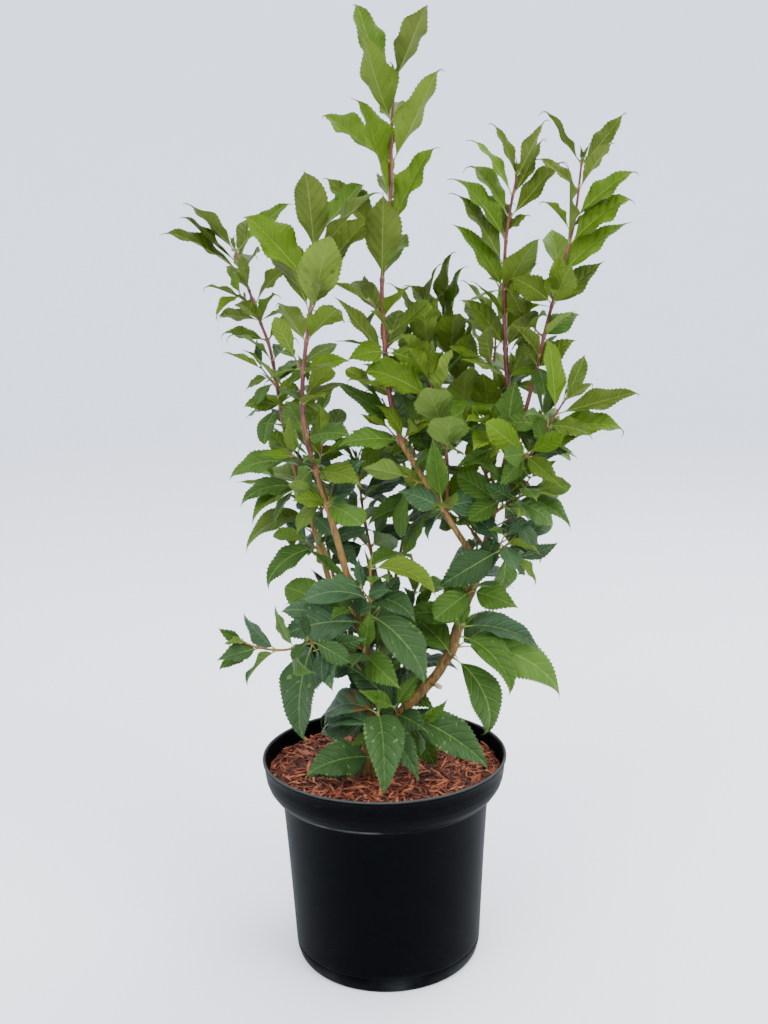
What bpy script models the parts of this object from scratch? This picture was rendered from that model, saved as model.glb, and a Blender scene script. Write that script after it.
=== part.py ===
"""A young spectabilis forsythia, a flowering shrub out of flower, in its round plastic nursery pot.

The tables are in millimetres and degrees and the meshes in metres. +Z is up, the front looks along
-Y, and the origin is the middle of the pot's underside.

Five woody limbs rise from a flat cut at the mulch. Each mass of foliage is one solid: a shoot with
leaves in crossed pairs, fused together. A limb or a shoot is a smooth curve through a few places.
A pair of leaves sits at every node, a quarter turn on from the pair above it. Each leaf strays from
its shoot's rule by the shoot's seed, and a leaf that shows plainly reaches for a stated place.
"""
import math
import random

import bmesh
import bpy
from mathutils import Vector
from mathutils.bvhtree import BVHTree

MM = 0.001
GAP = 0.3
UP = Vector((0.0, 0.0, 1.0))
RIGHT = Vector((1.0, 0.0, 0.0))
FRONT = Vector((0.0, -1.0, 0.0))

# Pot
RIM_HEIGHT = 164.0
WALL = 1.8
FLOOR = 3.0
LIP_DROP = 1.4
POT_STEPS = 32

# The band under the rim swells and then draws in to the body, as radius and height.
BAND = ((97.0, 162.6), (95.8, 159.0), (95.2, 153.0), (94.0, 147.0), (91.8, 141.5), (88.8, 138.0),
        (87.6, 136.0), (83.4, 132.6))
BODY = ((82.2, 130.6), (80.6, 110.0), (78.6, 80.0), (75.2, 20.0), (74.6, 8.0), (72.8, 1.6),
        (71.6, 0.0))

# Filling
SOIL_TOP = 138.0
MULCH_TOP = 154.0
MULCH_EDGE = 151.0
MULCH_FLAT = 44.0
MULCH_CLEAR = 1.2

# Limbs and shoots
PATH_STEPS = 6
TUBE_STRIDE = 2
ROOT_DEPTH = 8.0
FOOT_FLARE = 0.35
FOOT_REACH = 12.0
FOOT_STEP = 0.1
NODE_OFFSET = 0.2

# Leaves. Shares of the leaf's length, where not millimetres
STALK = 0.1
STALK_HALF_WIDTH = 0.6
WIDEST_FALL = 0.75
POINT_FALL = 1.2
STATIONS = (0.0, 0.17, 0.42, 0.72)
SMALL_STATIONS = (0.0, 0.24, 0.60)
SMALL_LEAF = 46.0
LEAF_THICK = 0.014
LEAST_THICK = 0.9
FREE_OF_LEAVES = 0.14
FREE_OF_SHOOT = 0.3

# How far a leaf strays from its shoot's rule
COMPASS_STRAY = 22.0
LIFT_STRAY = 12.0
BEND_STRAY = 20.0
LENGTH_STRAY = (0.84, 1.12)
WIDTH_STRAY = (0.88, 1.14)
FACE_STRAY = (0.5, 1.6)
ROLL_AT = 0.4
MOST_ROLL = 58.0
FOLD_STRAY = (0.6, 1.3)
FOLD = (28.0, 12.0)

# A leaf that reaches for a place
CHORD = 0.97
DEEPEST = 0.8
ARCH_FROM = 60.0
ARCH = 0.5

# Other ways for a leaf to hang when its own place is taken, as turns of compass and lift
SHIFTS = ((0, 0), (5, 0), (-5, 0), (0, 5), (0, -5), (10, 0), (-10, 0), (0, 10), (0, -10), (16, 6),
          (-16, 6), (24, 0), (-24, 0), (0, 18), (0, -18), (40, 0), (-40, 0))
SIDE_CLEAR = 0.6
FACE_CLEAR = 0.45
OVER_MULCH = 156.0

# Points from foot to tip, as right, back and up. thick is the radius at the foot and at the tip.
LIMBS = {
    "stem_right": {
        "points": ((-8, -10, 154), (13, -7, 196), (46, 0, 231), (64, 4, 276), (79, 6, 312),
                   (88, 8, 352), (104, 10, 413)),
        "thick": (4.6, 2.6),
    },
    "bough_centre": {
        "points": ((79, 6, 312), (64, 4, 333), (42, 2, 370), (18, -2, 410)),
        "thick": (2.6, 2.1),
    },
    "stem_left_front": {
        "points": ((-16, -20, 154), (-11, -17, 213), (-12, -15, 250), (-24, -20, 306)),
        "thick": (3.4, 2.7),
    },
    "stem_left_back": {
        "points": ((-14, 4, 154), (-24, 12, 230), (-39, 22, 289)),
        "thick": (2.9, 2.4),
    },
    "stem_back": {
        "points": ((-3, 8, 154), (-2, 20, 210), (1, 40, 272)),
        "thick": (2.2, 1.8),
    },
}

# top is how far the first pair sits below the tip. A pair of values runs from the tip to the foot.
# lengths are the leaves' lengths at each node from the tip. reach gives, for a node, how far to the
# right and up of it the tips of its front and back leaf lie.
SHOOTS = {
    "foliage_centre": {
        "points": ((18, -2, 410), (9, -2, 451), (6, 0, 503), (6, 0, 535), (13, 2, 590),
                   (15, 4, 639), (18, 5, 676)),
        "thick": (2.0, 0.9), "top": 3, "gap": (29, 26), "turn": 10, "seed": 1,
        "lift": (26, 54), "bend": (-14, 20), "wide": (0.36, 0.40),
        "lengths": (66, 72, 80, 76, 72, 68, 48, 52, 50, 60, 56),
        "reach": {0: ((22, 40), (-25, 58)), 1: ((-19, 52), (6, 29)), 2: ((32, 57), (-50, 45)),
                  3: ((-13, 76), (8, 32)), 4: ((29, 70), (-43, 51)), 5: ((2, 57), (15, 40)),
                  6: ((21, 23), (-22, 29)), 7: ((-36, 45), (12, 34)), 8: ((-31, 11), (33, 5)),
                  9: ((-48, 36), (18, 35)), 10: ((-48, 0), None)},
    },
    "foliage_right_centre": {
        "points": ((104, 10, 413), (101, 13, 450), (99, 15, 487), (99, 18, 544), (103, 18, 580),
                   (109, 18, 610)),
        "thick": (2.2, 0.8), "top": 3, "gap": (15, 24), "turn": 20, "seed": 2,
        "lift": (24, 50), "bend": (0, 22), "wide": (0.30, 0.44),
        "lengths": (44, 50, 58, 58, 60, 66, 52, 52, 48),
        "reach": {0: ((16, 34), (-15, 39)), 1: ((-28, 41), (33, 33)), 2: ((39, 42), (-30, 41)),
                  3: ((-40, 49), None), 4: ((-36, 56), None), 5: ((20, 38), (-39, 53)),
                  6: (None, (25, 44)), 7: ((16, 28), (-34, 40))},
    },
    "foliage_far_right": {
        "points": ((99, 9, 395), (107, 2, 410), (113, 0, 434), (119, -4, 459), (127, -12, 498), (138, -18, 541),
                   (145, -20, 569), (150, -20, 612)),
        "thick": (1.9, 0.8), "top": 3, "gap": (18, 26), "turn": 0, "seed": 3,
        "lift": (36, 50), "bend": (-5, 20), "wide": (0.30, 0.48),
        "lengths": (50, 44, 50, 56, 60, 50, 38, 38),
        "reach": {0: ((-28, 32), (31, 36)), 1: ((16, 27), (-25, 27)), 2: ((42, 33), None),
                  3: ((-3, 51), (44, 34)), 4: ((52, 38), (1, 39)), 5: ((8, 29), (38, 32)),
                  6: ((19, 19), None), 7: ((30, 23), None)},
    },
    "foliage_left_centre": {
        "points": ((-24, -20, 306), (-36, -22, 356), (-52, -22, 414), (-55, -20, 446),
                   (-52, -20, 479), (-47, -20, 510), (-42, -18, 553), (-41, -18, 566)),
        "thick": (2.6, 0.9), "top": 1, "gap": (18, 28), "turn": 40, "seed": 4,
        "lift": (34, 58), "bend": (-4, 30), "wide": (0.38, 0.52),
        "lengths": (62, 66, 70, 74, 56, 44, 42, 46, 46, 46),
        "reach": {0: ((-31, 35), (35, 36)), 1: ((-3, 57), None), 2: ((-46, 51), (42, 50)),
                  3: ((18, 53), None), 4: ((26, 23), (-22, 32)), 5: ((24, 6), None),
                  6: ((19, 8), None), 7: ((34, 4), None), 8: ((35, -8), None), 9: ((26, -9), None)},
    },
    "foliage_left": {
        "points": ((-39, 22, 289), (-53, 30, 341), (-67, 36, 388), (-75, 38, 423), (-83, 42, 479),
                   (-91, 44, 504), (-102, 46, 538), (-109, 46, 561)),
        "thick": (2.3, 0.8), "top": 3, "gap": (9, 27), "turn": 20, "seed": 5,
        "lift": (40, 68), "bend": (0, 50), "wide": (0.28, 0.40),
        "lengths": (60, 58, 72, 36, 50, 40, 34, 44, 44, 44, 56, 56, 56, 62, 56),
        "reach": {0: ((-30, 34), (41, 39)), 1: ((-37, 35), (2, 40)), 2: ((-53, 32), (3, 21)),
                  4: ((32, 28), None), 5: ((-13, 15), None), 7: ((-30, 23), (15, 20)),
                  8: ((-24, 29), (25, 20)), 9: ((-10, -25), None), 10: ((-26, 48), None),
                  11: ((-53, -13), None), 12: ((-47, -9), None), 13: ((-55, -27), (-19, -37)),
                  14: ((-45, -33), None)},
    },
    "foliage_right_side": {
        "points": ((98, 9, 388), (118, -12, 403), (128, -20, 424), (139, -25, 443)),
        "thick": (1.5, 0.7), "top": 3, "gap": (11, 17), "turn": 30, "seed": 6,
        "lift": (36, 62), "bend": (5, 26), "wide": (0.30, 0.42),
        "lengths": (44, 58, 54, 36, 42),
        "reach": {0: ((14, 15), (19, 33)), 1: ((61, 16), (-5, 56)), 2: ((58, -1), (3, 12)),
                  3: ((31, 12), None), 4: ((30, 10), (0, 19))},
    },
    "foliage_right_fan": {
        "points": ((88, 8, 352), (102, -2, 364), (112, -8, 370), (122, -10, 374)),
        "thick": (1.3, 0.7), "top": 3, "gap": (10, 11), "turn": 60, "seed": 7,
        "lift": (46, 72), "bend": (20, 40), "wide": (0.38, 0.46),
        "lengths": (42, 50, 50, 46),
        "reach": {0: ((24, 5), (21, 11)), 1: ((33, -22), (35, -4)), 2: ((1, -9), (35, -26)),
                  3: ((16, -4), None)},
    },
    "foliage_right_spur": {
        "points": ((80, 6, 316), (93, -3, 326), (100, -7, 333)),
        "thick": (1.1, 0.7), "top": 3, "gap": (9, 9), "turn": 70, "seed": 8,
        "lift": (50, 72), "bend": (30, 40), "wide": (0.46, 0.50),
        "lengths": (44, 50),
        "reach": {0: ((20, 0), (30, -20)), 1: ((-49, -29), (19, -28))},
    },
    "foliage_back_right": {
        "points": ((91, 8, 364), (86, 30, 408), (91, 42, 432), (95, 54, 462), (97, 62, 500)),
        "thick": (1.6, 0.7), "top": 4, "gap": (18, 24), "turn": 45, "seed": 9,
        "lift": (34, 60), "bend": (5, 30), "wide": (0.42, 0.50),
        "lengths": (52, 60, 62, 60, 54),
        "reach": {},
    },
    "foliage_inner": {
        "points": ((90, 8, 358), (78, 22, 404), (66, 40, 440), (60, 52, 470), (54, 58, 505)),
        "thick": (1.5, 0.7), "top": 3, "gap": (16, 24), "turn": 20, "seed": 10,
        "lift": (28, 56), "bend": (0, 25), "wide": (0.40, 0.50),
        "lengths": (46, 56, 62, 60, 56),
        "reach": {0: ((6, 54), None), 1: ((11, 58), None), 2: ((-4, 38), (-18, 44)),
                  3: ((9, 43), None), 4: ((3, 37), None)},
    },
    "foliage_middle": {
        "points": ((42, 2, 370), (50, -10, 394), (51, -12, 412), (44, -12, 440), (40, -8, 458)),
        "thick": (1.4, 0.6), "top": 3, "gap": (16, 20), "turn": 60, "seed": 11,
        "lift": (34, 62), "bend": (5, 30), "wide": (0.44, 0.52),
        "lengths": (42, 54, 60, 58),
        "reach": {2: ((-14, 33), None), 3: ((2, 30), (-34, -26))},
    },
    "foliage_inner_left": {
        "points": ((52, 3, 353), (54, 22, 396), (46, 34, 440), (40, 42, 476), (38, 46, 498)),
        "thick": (1.4, 0.6), "top": 3, "gap": (17, 22), "turn": 30, "seed": 12,
        "lift": (32, 60), "bend": (5, 30), "wide": (0.40, 0.50),
        "lengths": (46, 56, 60, 58, 54),
        "reach": {0: ((11, 52), None), 1: ((-3, 39), None)},
    },
    "foliage_back": {
        "points": ((1, 40, 272), (-8, 55, 316), (-14, 62, 350), (-18, 70, 392)),
        "thick": (1.7, 0.7), "top": 3, "gap": (16, 22), "turn": 30, "seed": 13,
        "lift": (38, 60), "bend": (10, 40), "wide": (0.38, 0.46),
        "lengths": (42, 52, 54, 50, 46),
        "reach": {0: ((30, 11), None), 1: ((29, 29), None), 2: ((30, 21), None)},
    },
    "foliage_low_middle": {
        "points": ((-15, -16, 266), (-12, -30, 282), (-7, -37, 300), (-8, -36, 322)),
        "thick": (1.5, 0.8), "top": 2, "gap": (12, 12), "turn": 15, "seed": 14,
        "lift": (58, 80), "bend": (34, 50), "wide": (0.44, 0.44),
        "lengths": (56, 44, 46, 74, 64),
        "reach": {0: ((50, -21), (42, -2)), 2: ((33, -10), (-49, 1)), 3: ((44, -60), (-41, -37)),
                  4: ((-64, -10), None)},
    },
    "foliage_low_right": {
        "points": ((47, 0, 233), (56, -12, 246), (60, -17, 262), (63, -20, 272)),
        "thick": (1.3, 0.8), "top": 2, "gap": (9, 12), "turn": 20, "seed": 15,
        "lift": (56, 84), "bend": (30, 60), "wide": (0.40, 0.46),
        "lengths": (58, 60, 76, 66),
        "reach": {0: ((60, -20), (-37, -2)), 1: ((46, -39), (2, 42)), 2: ((82, -43), None),
                  3: ((24, -67), None)},
    },
    "foliage_low_left": {
        "points": ((-12, -15, 253), (-46, -35, 265), (-72, -45, 262), (-92, -50, 266),
                   (-104, -52, 272)),
        "thick": (1.3, 0.7), "top": 3, "gap": (12, 17), "turn": 60, "seed": 16,
        "lift": (44, 74), "bend": (10, 40), "wide": (0.46, 0.46),
        "lengths": (20, 34, 42, 36, 72, 42),
        "reach": {0: ((-19, 11), None), 1: ((-31, -6), (-32, -16)), 2: ((-20, -16), (-27, 25)),
                  3: ((16, -11), None), 4: ((-10, -81), None), 5: ((0, -29), (-19, -3))},
    },
    "foliage_low_front": {
        "points": ((-9, -26, 154), (-8, -32, 172), (-5, -38, 200), (-4, -40, 211)),
        "thick": (1.5, 0.9), "top": 2, "gap": (13, 13), "turn": 100, "seed": 17,
        "lift": (74, 80), "bend": (60, 40), "wide": (0.46, 0.46),
        "lengths": (70, 58, 32, 59),
        "reach": {0: ((3, -46), (-48, -26)), 1: ((31, -30), (-45, -16)), 2: ((-17, 9), None),
                  3: ((-53, -5), None)},
    },
    "foliage_low_spur": {
        "points": ((9, -8, 188), (13, -19, 196), (17, -24, 204)),
        "thick": (1.4, 0.9), "top": 2, "gap": (8, 8), "turn": 60, "seed": 18,
        "lift": (60, 80), "bend": (30, 40), "wide": (0.42, 0.46),
        "lengths": (80, 62),
        "reach": {0: ((64, -35), (-47, -9)), 1: (None, (-48, 49))},
    },
    "foliage_low_back": {
        "points": ((12, 14, 154), (16, 30, 196), (20, 44, 240), (28, 60, 280)),
        "thick": (1.6, 0.8), "top": 3, "gap": (18, 26), "turn": 30, "seed": 19,
        "lift": (50, 76), "bend": (20, 50), "wide": (0.40, 0.46),
        "lengths": (50, 54, 62, 60),
        "reach": {1: ((35, -43), None)},
    },
    "foliage_rear": {
        "points": ((0, 33, 250), (14, 62, 300), (26, 84, 360), (34, 98, 430), (36, 104, 466)),
        "thick": (1.7, 0.7), "top": 3, "gap": (18, 26), "turn": 30, "seed": 20,
        "lift": (34, 66), "bend": (5, 36), "wide": (0.38, 0.46),
        "lengths": (42, 54, 60, 62, 60, 56, 52),
        "reach": {},
    },
    "foliage_rear_left": {
        "points": ((-31, 17, 261), (-42, 50, 312), (-52, 72, 370), (-60, 86, 430)),
        "thick": (1.6, 0.7), "top": 3, "gap": (18, 26), "turn": 60, "seed": 21,
        "lift": (36, 66), "bend": (5, 36), "wide": (0.38, 0.46),
        "lengths": (42, 52, 56, 58, 56, 50),
        "reach": {},
    },
    "foliage_fork": {
        "points": ((101, 10, 402), (96, -6, 411), (90, -12, 424)),
        "thick": (1.2, 0.7), "top": 2, "gap": (10, 12), "turn": 60, "seed": 22,
        "lift": (40, 64), "bend": (10, 36), "wide": (0.38, 0.44),
        "lengths": (44, 52, 54),
        "reach": {0: ((-23, 19), None), 1: ((-27, -5), (35, 6)), 2: ((-19, 18), None)},
    },
    "foliage_back_spur": {
        "points": ((82, 7, 325), (71, 20, 340), (60, 26, 352), (48, 26, 362)),
        "thick": (1.3, 0.7), "top": 2, "gap": (11, 12), "turn": 30, "seed": 23,
        "lift": (46, 70), "bend": (20, 44), "wide": (0.40, 0.46),
        "lengths": (60, 46, 42),
        "reach": {0: ((-62, -18), (-31, -28)), 1: ((-22, -18), None), 2: ((7, -3), (-7, 29))},
    },
}

# Colours as sRGB bytes, with roughness
FINISHES = {
    "black_plastic": ((16, 24, 29), 0.45),
    "dark_soil": ((52, 34, 26), 0.95),
    "brown_mulch": ((86, 48, 35), 0.95),
    "tan_bark": ((112, 98, 62), 0.8),
    "young_leaf": ((132, 148, 74), 0.55),
    "green_leaf": ((106, 128, 62), 0.55),
    "deep_leaf": ((76, 104, 56), 0.55),
}
YOUNG = ("foliage_centre", "foliage_right_centre", "foliage_far_right", "foliage_left")
DEEP = ("foliage_right_fan", "foliage_back", "foliage_low_front", "foliage_low_left",
        "foliage_low_spur", "foliage_low_back", "foliage_rear", "foliage_rear_left", "foliage_back_spur")


def mix(ends, share):
    return ends[0] + (ends[1] - ends[0]) * share


class Path:
    """A smooth curve through places given in millimetres, from its foot to its tip."""

    def __init__(self, places):
        given = [Vector(place) * MM for place in places]
        given = [2 * given[0] - given[1]] + given + [2 * given[-1] - given[-2]]
        self.spots = []
        for a, b, c, d in zip(given, given[1:], given[2:], given[3:]):
            for step in range(PATH_STEPS):
                t = step / PATH_STEPS
                self.spots.append(0.5 * (2 * b + (c - a) * t + (2 * a - 5 * b + 4 * c - d) * t * t
                                         + (3 * b - a - 3 * c + d) * t ** 3))
        self.spots.append(given[-2])
        self.run = [0.0]
        for before, after in zip(self.spots, self.spots[1:]):
            self.run.append(self.run[-1] + (after - before).length)
        self.length = self.run[-1]

    def at(self, along):
        """The place and direction at a length along the curve."""
        last = len(self.spots) - 2
        i = 0
        while i < last and self.run[i + 1] < along:
            i += 1
        before, after = self.spots[i], self.spots[i + 1]
        share = (along - self.run[i]) / (self.run[i + 1] - self.run[i])
        return before.lerp(after, share), (after - before).normalized()


class Leaf:
    """One leaf: an arc that leaves its node at an angle from the shoot, folded along its midrib."""

    def __init__(self, root, axis, compass, lift, bend, length, width, face, fold):
        side = (RIGHT - RIGHT.dot(axis) * axis).normalized()
        turn = math.radians(compass)
        self.axis = axis
        self.out = side * math.cos(turn) + axis.cross(side) * math.sin(turn)
        self.root = root + self.out * NODE_OFFSET * MM
        self.lift = math.radians(lift)
        self.bend = math.radians(bend if abs(bend) > 1 else 1)
        self.length = length * MM
        self.width = width
        self.fold = math.radians(fold)
        along, upper = self.heading(ROLL_AT)
        wished = upper + face * (1 - self.out.dot(FRONT) ** 2) * (FRONT - FRONT.dot(along) * along)
        roll = math.atan2(wished.dot(along.cross(upper)), wished.dot(upper))
        self.roll = max(-MOST_ROLL, min(MOST_ROLL, math.degrees(roll)))

    def heading(self, t):
        """The midrib's direction and the upper side of a leaf that isn't rolled."""
        angle = self.lift + self.bend * t
        return (math.cos(angle) * self.axis + math.sin(angle) * self.out,
                math.sin(angle) * self.axis - math.cos(angle) * self.out)

    def middle(self, t):
        """The midrib's place, the way across the leaf and its upper side."""
        angle = self.lift + self.bend * t
        reach = self.length / self.bend
        spot = self.root + reach * ((math.sin(angle) - math.sin(self.lift)) * self.axis
                                    + (math.cos(self.lift) - math.cos(angle)) * self.out)
        along, flat = self.heading(t)
        roll = math.radians(self.roll)
        upper = flat * math.cos(roll) + along.cross(flat) * math.sin(roll)
        return spot, along.cross(upper), upper

    def half_width(self, t):
        if t <= STALK:
            return STALK_HALF_WIDTH * MM
        blade = (t - STALK) / (1 - STALK)
        widest = WIDEST_FALL / (WIDEST_FALL + POINT_FALL)
        swell = (blade / widest) ** WIDEST_FALL * ((1 - blade) / (1 - widest)) ** POINT_FALL
        return 0.5 * self.width * self.length * swell

    def solid(self, start=0.0, side_pad=0.0, face_pad=0.0):
        """A blade of four-cornered rings and a point: left edge, top, right edge, underside."""
        stations = SMALL_STATIONS if self.length < SMALL_LEAF * MM else STATIONS
        stations = [start] + [t for t in stations if t > start]
        half_thick = max(LEAST_THICK * MM, LEAF_THICK * self.length) / 2 + face_pad * MM
        places = []
        for t in stations:
            spot, across, upper = self.middle(t)
            wide = self.half_width(t) + side_pad * MM
            edge = across * wide * math.cos(self.fold)
            rise = upper * wide * math.sin(self.fold)
            places += [spot + edge + rise, spot + upper * half_thick,
                       spot - edge + rise, spot - upper * half_thick]
        places.append(self.middle(1.0)[0])
        faces = [(0, 1, 2, 3)]
        for ring in range(0, 4 * len(stations) - 4, 4):
            for i in range(4):
                j = (i + 1) % 4
                faces.append((ring + i, ring + 4 + j, ring + j))
                faces.append((ring + i, ring + 4 + i, ring + 4 + j))
        last = 4 * len(stations) - 4
        for i in range(4):
            faces.append((last + (i + 1) % 4, last + i, last + 4))
        return places, faces


def nodes(shoot, path):
    """Where the pairs of leaves sit, from the tip down."""
    count = len(shoot["lengths"])
    along = path.length - shoot["top"] * MM
    spots = []
    for k in range(count):
        spots.append(path.at(max(along, 2 * MM)))
        along -= mix(shoot["gap"], k / max(count - 1, 1)) * MM
    return spots


def aimed(root, axis, reach, forward, length, bend):
    """Compass, lift, bend and length of a leaf whose tip lies a given way right and up of its node."""
    right, up = reach
    depth = min(math.sqrt(max((CHORD * length) ** 2 - right ** 2 - up ** 2, 0.0)), DEEPEST * length)
    tip = Vector((right, -depth if forward else depth, up))
    angle = math.degrees(tip.angle(axis))
    bend += ARCH * max(0.0, angle - ARCH_FROM)
    half = math.radians(max(abs(bend), 1.0)) / 2
    side = (RIGHT - RIGHT.dot(axis) * axis).normalized()
    compass = math.degrees(math.atan2(tip.dot(axis.cross(side)), tip.dot(side)))
    return compass, angle - bend / 2, bend, tip.length * half / math.sin(half)


def pair_ways(shoot, k, spot, draw):
    """The two leaves of a node, each as a function of a turn of compass and of lift."""
    root, axis = spot
    share = k / max(len(shoot["lengths"]) - 1, 1)
    ways = []
    for side, reach in enumerate(shoot["reach"].get(k, (None, None))):
        compass = shoot["turn"] + 90 * k + 180 * side + draw.uniform(-COMPASS_STRAY, COMPASS_STRAY)
        lift = mix(shoot["lift"], share) + draw.uniform(-LIFT_STRAY, LIFT_STRAY)
        bend = mix(shoot["bend"], share) + draw.uniform(-BEND_STRAY, BEND_STRAY)
        length = shoot["lengths"][k] * draw.uniform(*LENGTH_STRAY)
        width = mix(shoot["wide"], share) * draw.uniform(*WIDTH_STRAY)
        face = draw.uniform(*FACE_STRAY)
        fold = mix(FOLD, share) * draw.uniform(*FOLD_STRAY)
        if reach:
            usual = shoot["lengths"][k]
            compass, lift, bend, length = aimed(root, axis, reach, side == 0, usual, bend)
            width *= usual / length
        ways.append(lambda turn, rise, values=(compass, lift, bend, length, width, face, fold):
                    Leaf(root, axis, values[0] + turn, values[1] + rise, *values[2:]))
    return ways


class Space:
    """The bodies already in place, to keep new ones clear of them."""

    def __init__(self):
        self.bodies = []

    def add(self, name, places, faces):
        tree = BVHTree.FromPolygons(places, faces)
        low = Vector([min(place[i] for place in places) for i in range(3)])
        high = Vector([max(place[i] for place in places) for i in range(3)])
        self.bodies.append((name, tree, low, high))

    def add_mesh(self, name, mesh):
        self.add(name, [vertex.co.copy() for vertex in mesh.vertices],
                 [tuple(face.vertices) for face in mesh.polygons])

    def meets(self, places, faces, but=()):
        low = Vector([min(place[i] for place in places) for i in range(3)])
        high = Vector([max(place[i] for place in places) for i in range(3)])
        tree = None
        for name, other, other_low, other_high in self.bodies:
            apart = any(low[i] > other_high[i] or high[i] < other_low[i] for i in range(3))
            if name in but or apart:
                continue
            tree = tree or BVHTree.FromPolygons(places, faces)
            if tree.overlap(other):
                return True
        return False

    def distance(self, place):
        """How far a place is from the nearest body, less than nothing inside one."""
        nearest = 1.0
        for _, tree, low, high in self.bodies:
            if any(place[i] < low[i] - 0.02 or place[i] > high[i] + 0.02 for i in range(3)):
                continue
            spot, normal, _, far = tree.find_nearest(place)
            nearest = min(nearest, -far if (place - spot).dot(normal) < 0 else far)
        return nearest


def over_pot(places):
    """Whether a body stays above the mulch inside the pot."""
    rim = (BAND[0][0] - WALL) * MM
    return all(place.z > OVER_MULCH * MM or place.xy.length > rim for place in places)


def place_leaf(way, own_shoot, own_leaves, space):
    """The first way for a leaf to hang that is clear of all else, or None.

    It may touch its own shoot and that shoot's leaves near its root, where they are fused.
    """
    for turn, rise in SHIFTS:
        leaf = way(turn, rise)
        tests = ((0.0, (own_shoot, own_leaves)), (FREE_OF_LEAVES, (own_shoot,)), (FREE_OF_SHOOT, ()))
        if not over_pot(leaf.solid(FREE_OF_LEAVES)[0]):
            continue
        if any(space.meets(*leaf.solid(start, SIDE_CLEAR, FACE_CLEAR), but) for start, but in tests):
            continue
        return leaf
    return None


def make_material(name):
    srgb, roughness = FINISHES[name]
    linear = [(c / 255 / 12.92) if c < 11 else ((c / 255 + 0.055) / 1.055) ** 2.4 for c in srgb]
    material = bpy.data.materials.new(name)
    material.use_nodes = True
    shader = material.node_tree.nodes["Principled BSDF"]
    shader.inputs["Base Color"].default_value = (*linear, 1.0)
    shader.inputs["Roughness"].default_value = roughness
    shader.inputs["Metallic"].default_value = 0.0
    return material


def mesh_from(name, places, faces):
    mesh = bpy.data.meshes.new(name)
    mesh.from_pydata([tuple(place) for place in places], [], faces)
    mesh.update()
    return mesh


def turned_object(name, profile):
    """A body turned about the vertical axis from a profile of radii and heights."""
    mesh = bpy.data.meshes.new(name)
    places = [(radius * MM, 0.0, height * MM) for radius, height in profile]
    mesh.from_pydata(places, [(i, i + 1) for i in range(len(places) - 1)], [])
    body = bpy.data.objects.new(name, mesh)
    screw = body.modifiers.new("turn", "SCREW")
    screw.axis = "Z"
    screw.steps = POT_STEPS
    screw.render_steps = POT_STEPS
    screw.use_merge_vertices = True
    screw.merge_threshold = 0.00001
    return body


def wall_radius(height):
    """The pot's inner radius at a height."""
    outside = BAND + BODY
    for (upper, top), (lower, bottom) in zip(outside, outside[1:]):
        if bottom <= height <= top:
            return mix((lower, upper), (height - bottom) / (top - bottom)) - WALL
    return outside[0][0] - WALL


def pot_profile():
    top = BAND[0][0]
    inside = [(radius - WALL, height) for radius, height in reversed(BAND + BODY) if height > FLOOR]
    lip = [(top - WALL, RIM_HEIGHT - LIP_DROP / 2), (top - WALL * 0.75, RIM_HEIGHT),
           (top - WALL * 0.25, RIM_HEIGHT), (top, RIM_HEIGHT - LIP_DROP / 2)]
    return ([(0.0, FLOOR), (wall_radius(FLOOR), FLOOR)] + inside + lip + list(BAND + BODY)
            + [(0.0, 0.0)])


def soil_profile():
    bottom = FLOOR + GAP
    sides = [(wall_radius(height) - GAP, height) for _, height in BAND + BODY
             if bottom < height < SOIL_TOP]
    return ([(0.0, SOIL_TOP), (wall_radius(SOIL_TOP) - GAP, SOIL_TOP)] + sides
            + [(wall_radius(bottom) - GAP, bottom), (0.0, bottom)])


def mulch_profile():
    """A flat heap where the stems stand, lower all round where it meets the wall."""
    bottom = SOIL_TOP + GAP
    edge = wall_radius(MULCH_EDGE) - MULCH_CLEAR
    slope = []
    for share in (0.0, 0.35, 0.7, 1.0):
        drop = (MULCH_TOP - MULCH_EDGE) * share ** 1.5
        slope.append((mix((MULCH_FLAT, edge), share), MULCH_TOP - drop))
    sides = [(wall_radius(height) - MULCH_CLEAR, height) for _, height in BAND
             if bottom < height < MULCH_EDGE]
    return ([(0.0, MULCH_TOP)] + slope + sides
            + [(wall_radius(bottom) - MULCH_CLEAR, bottom), (0.0, bottom)])


def clear_foot(path, radius, space):
    """The first length along a path at which its cut end is clear of every body in place."""
    along = 0.0
    while along < path.length / 2:
        spot, ahead = path.at(along)
        side = ahead.orthogonal().normalized()
        ring = [spot + (side * math.cos(a) + ahead.cross(side) * math.sin(a)) * radius * MM
                for a in [math.radians(45 * i) for i in range(8)]]
        if all(space.distance(place) > GAP * MM for place in ring + [spot]):
            return along
        along += FOOT_STEP * MM
    return along


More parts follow.
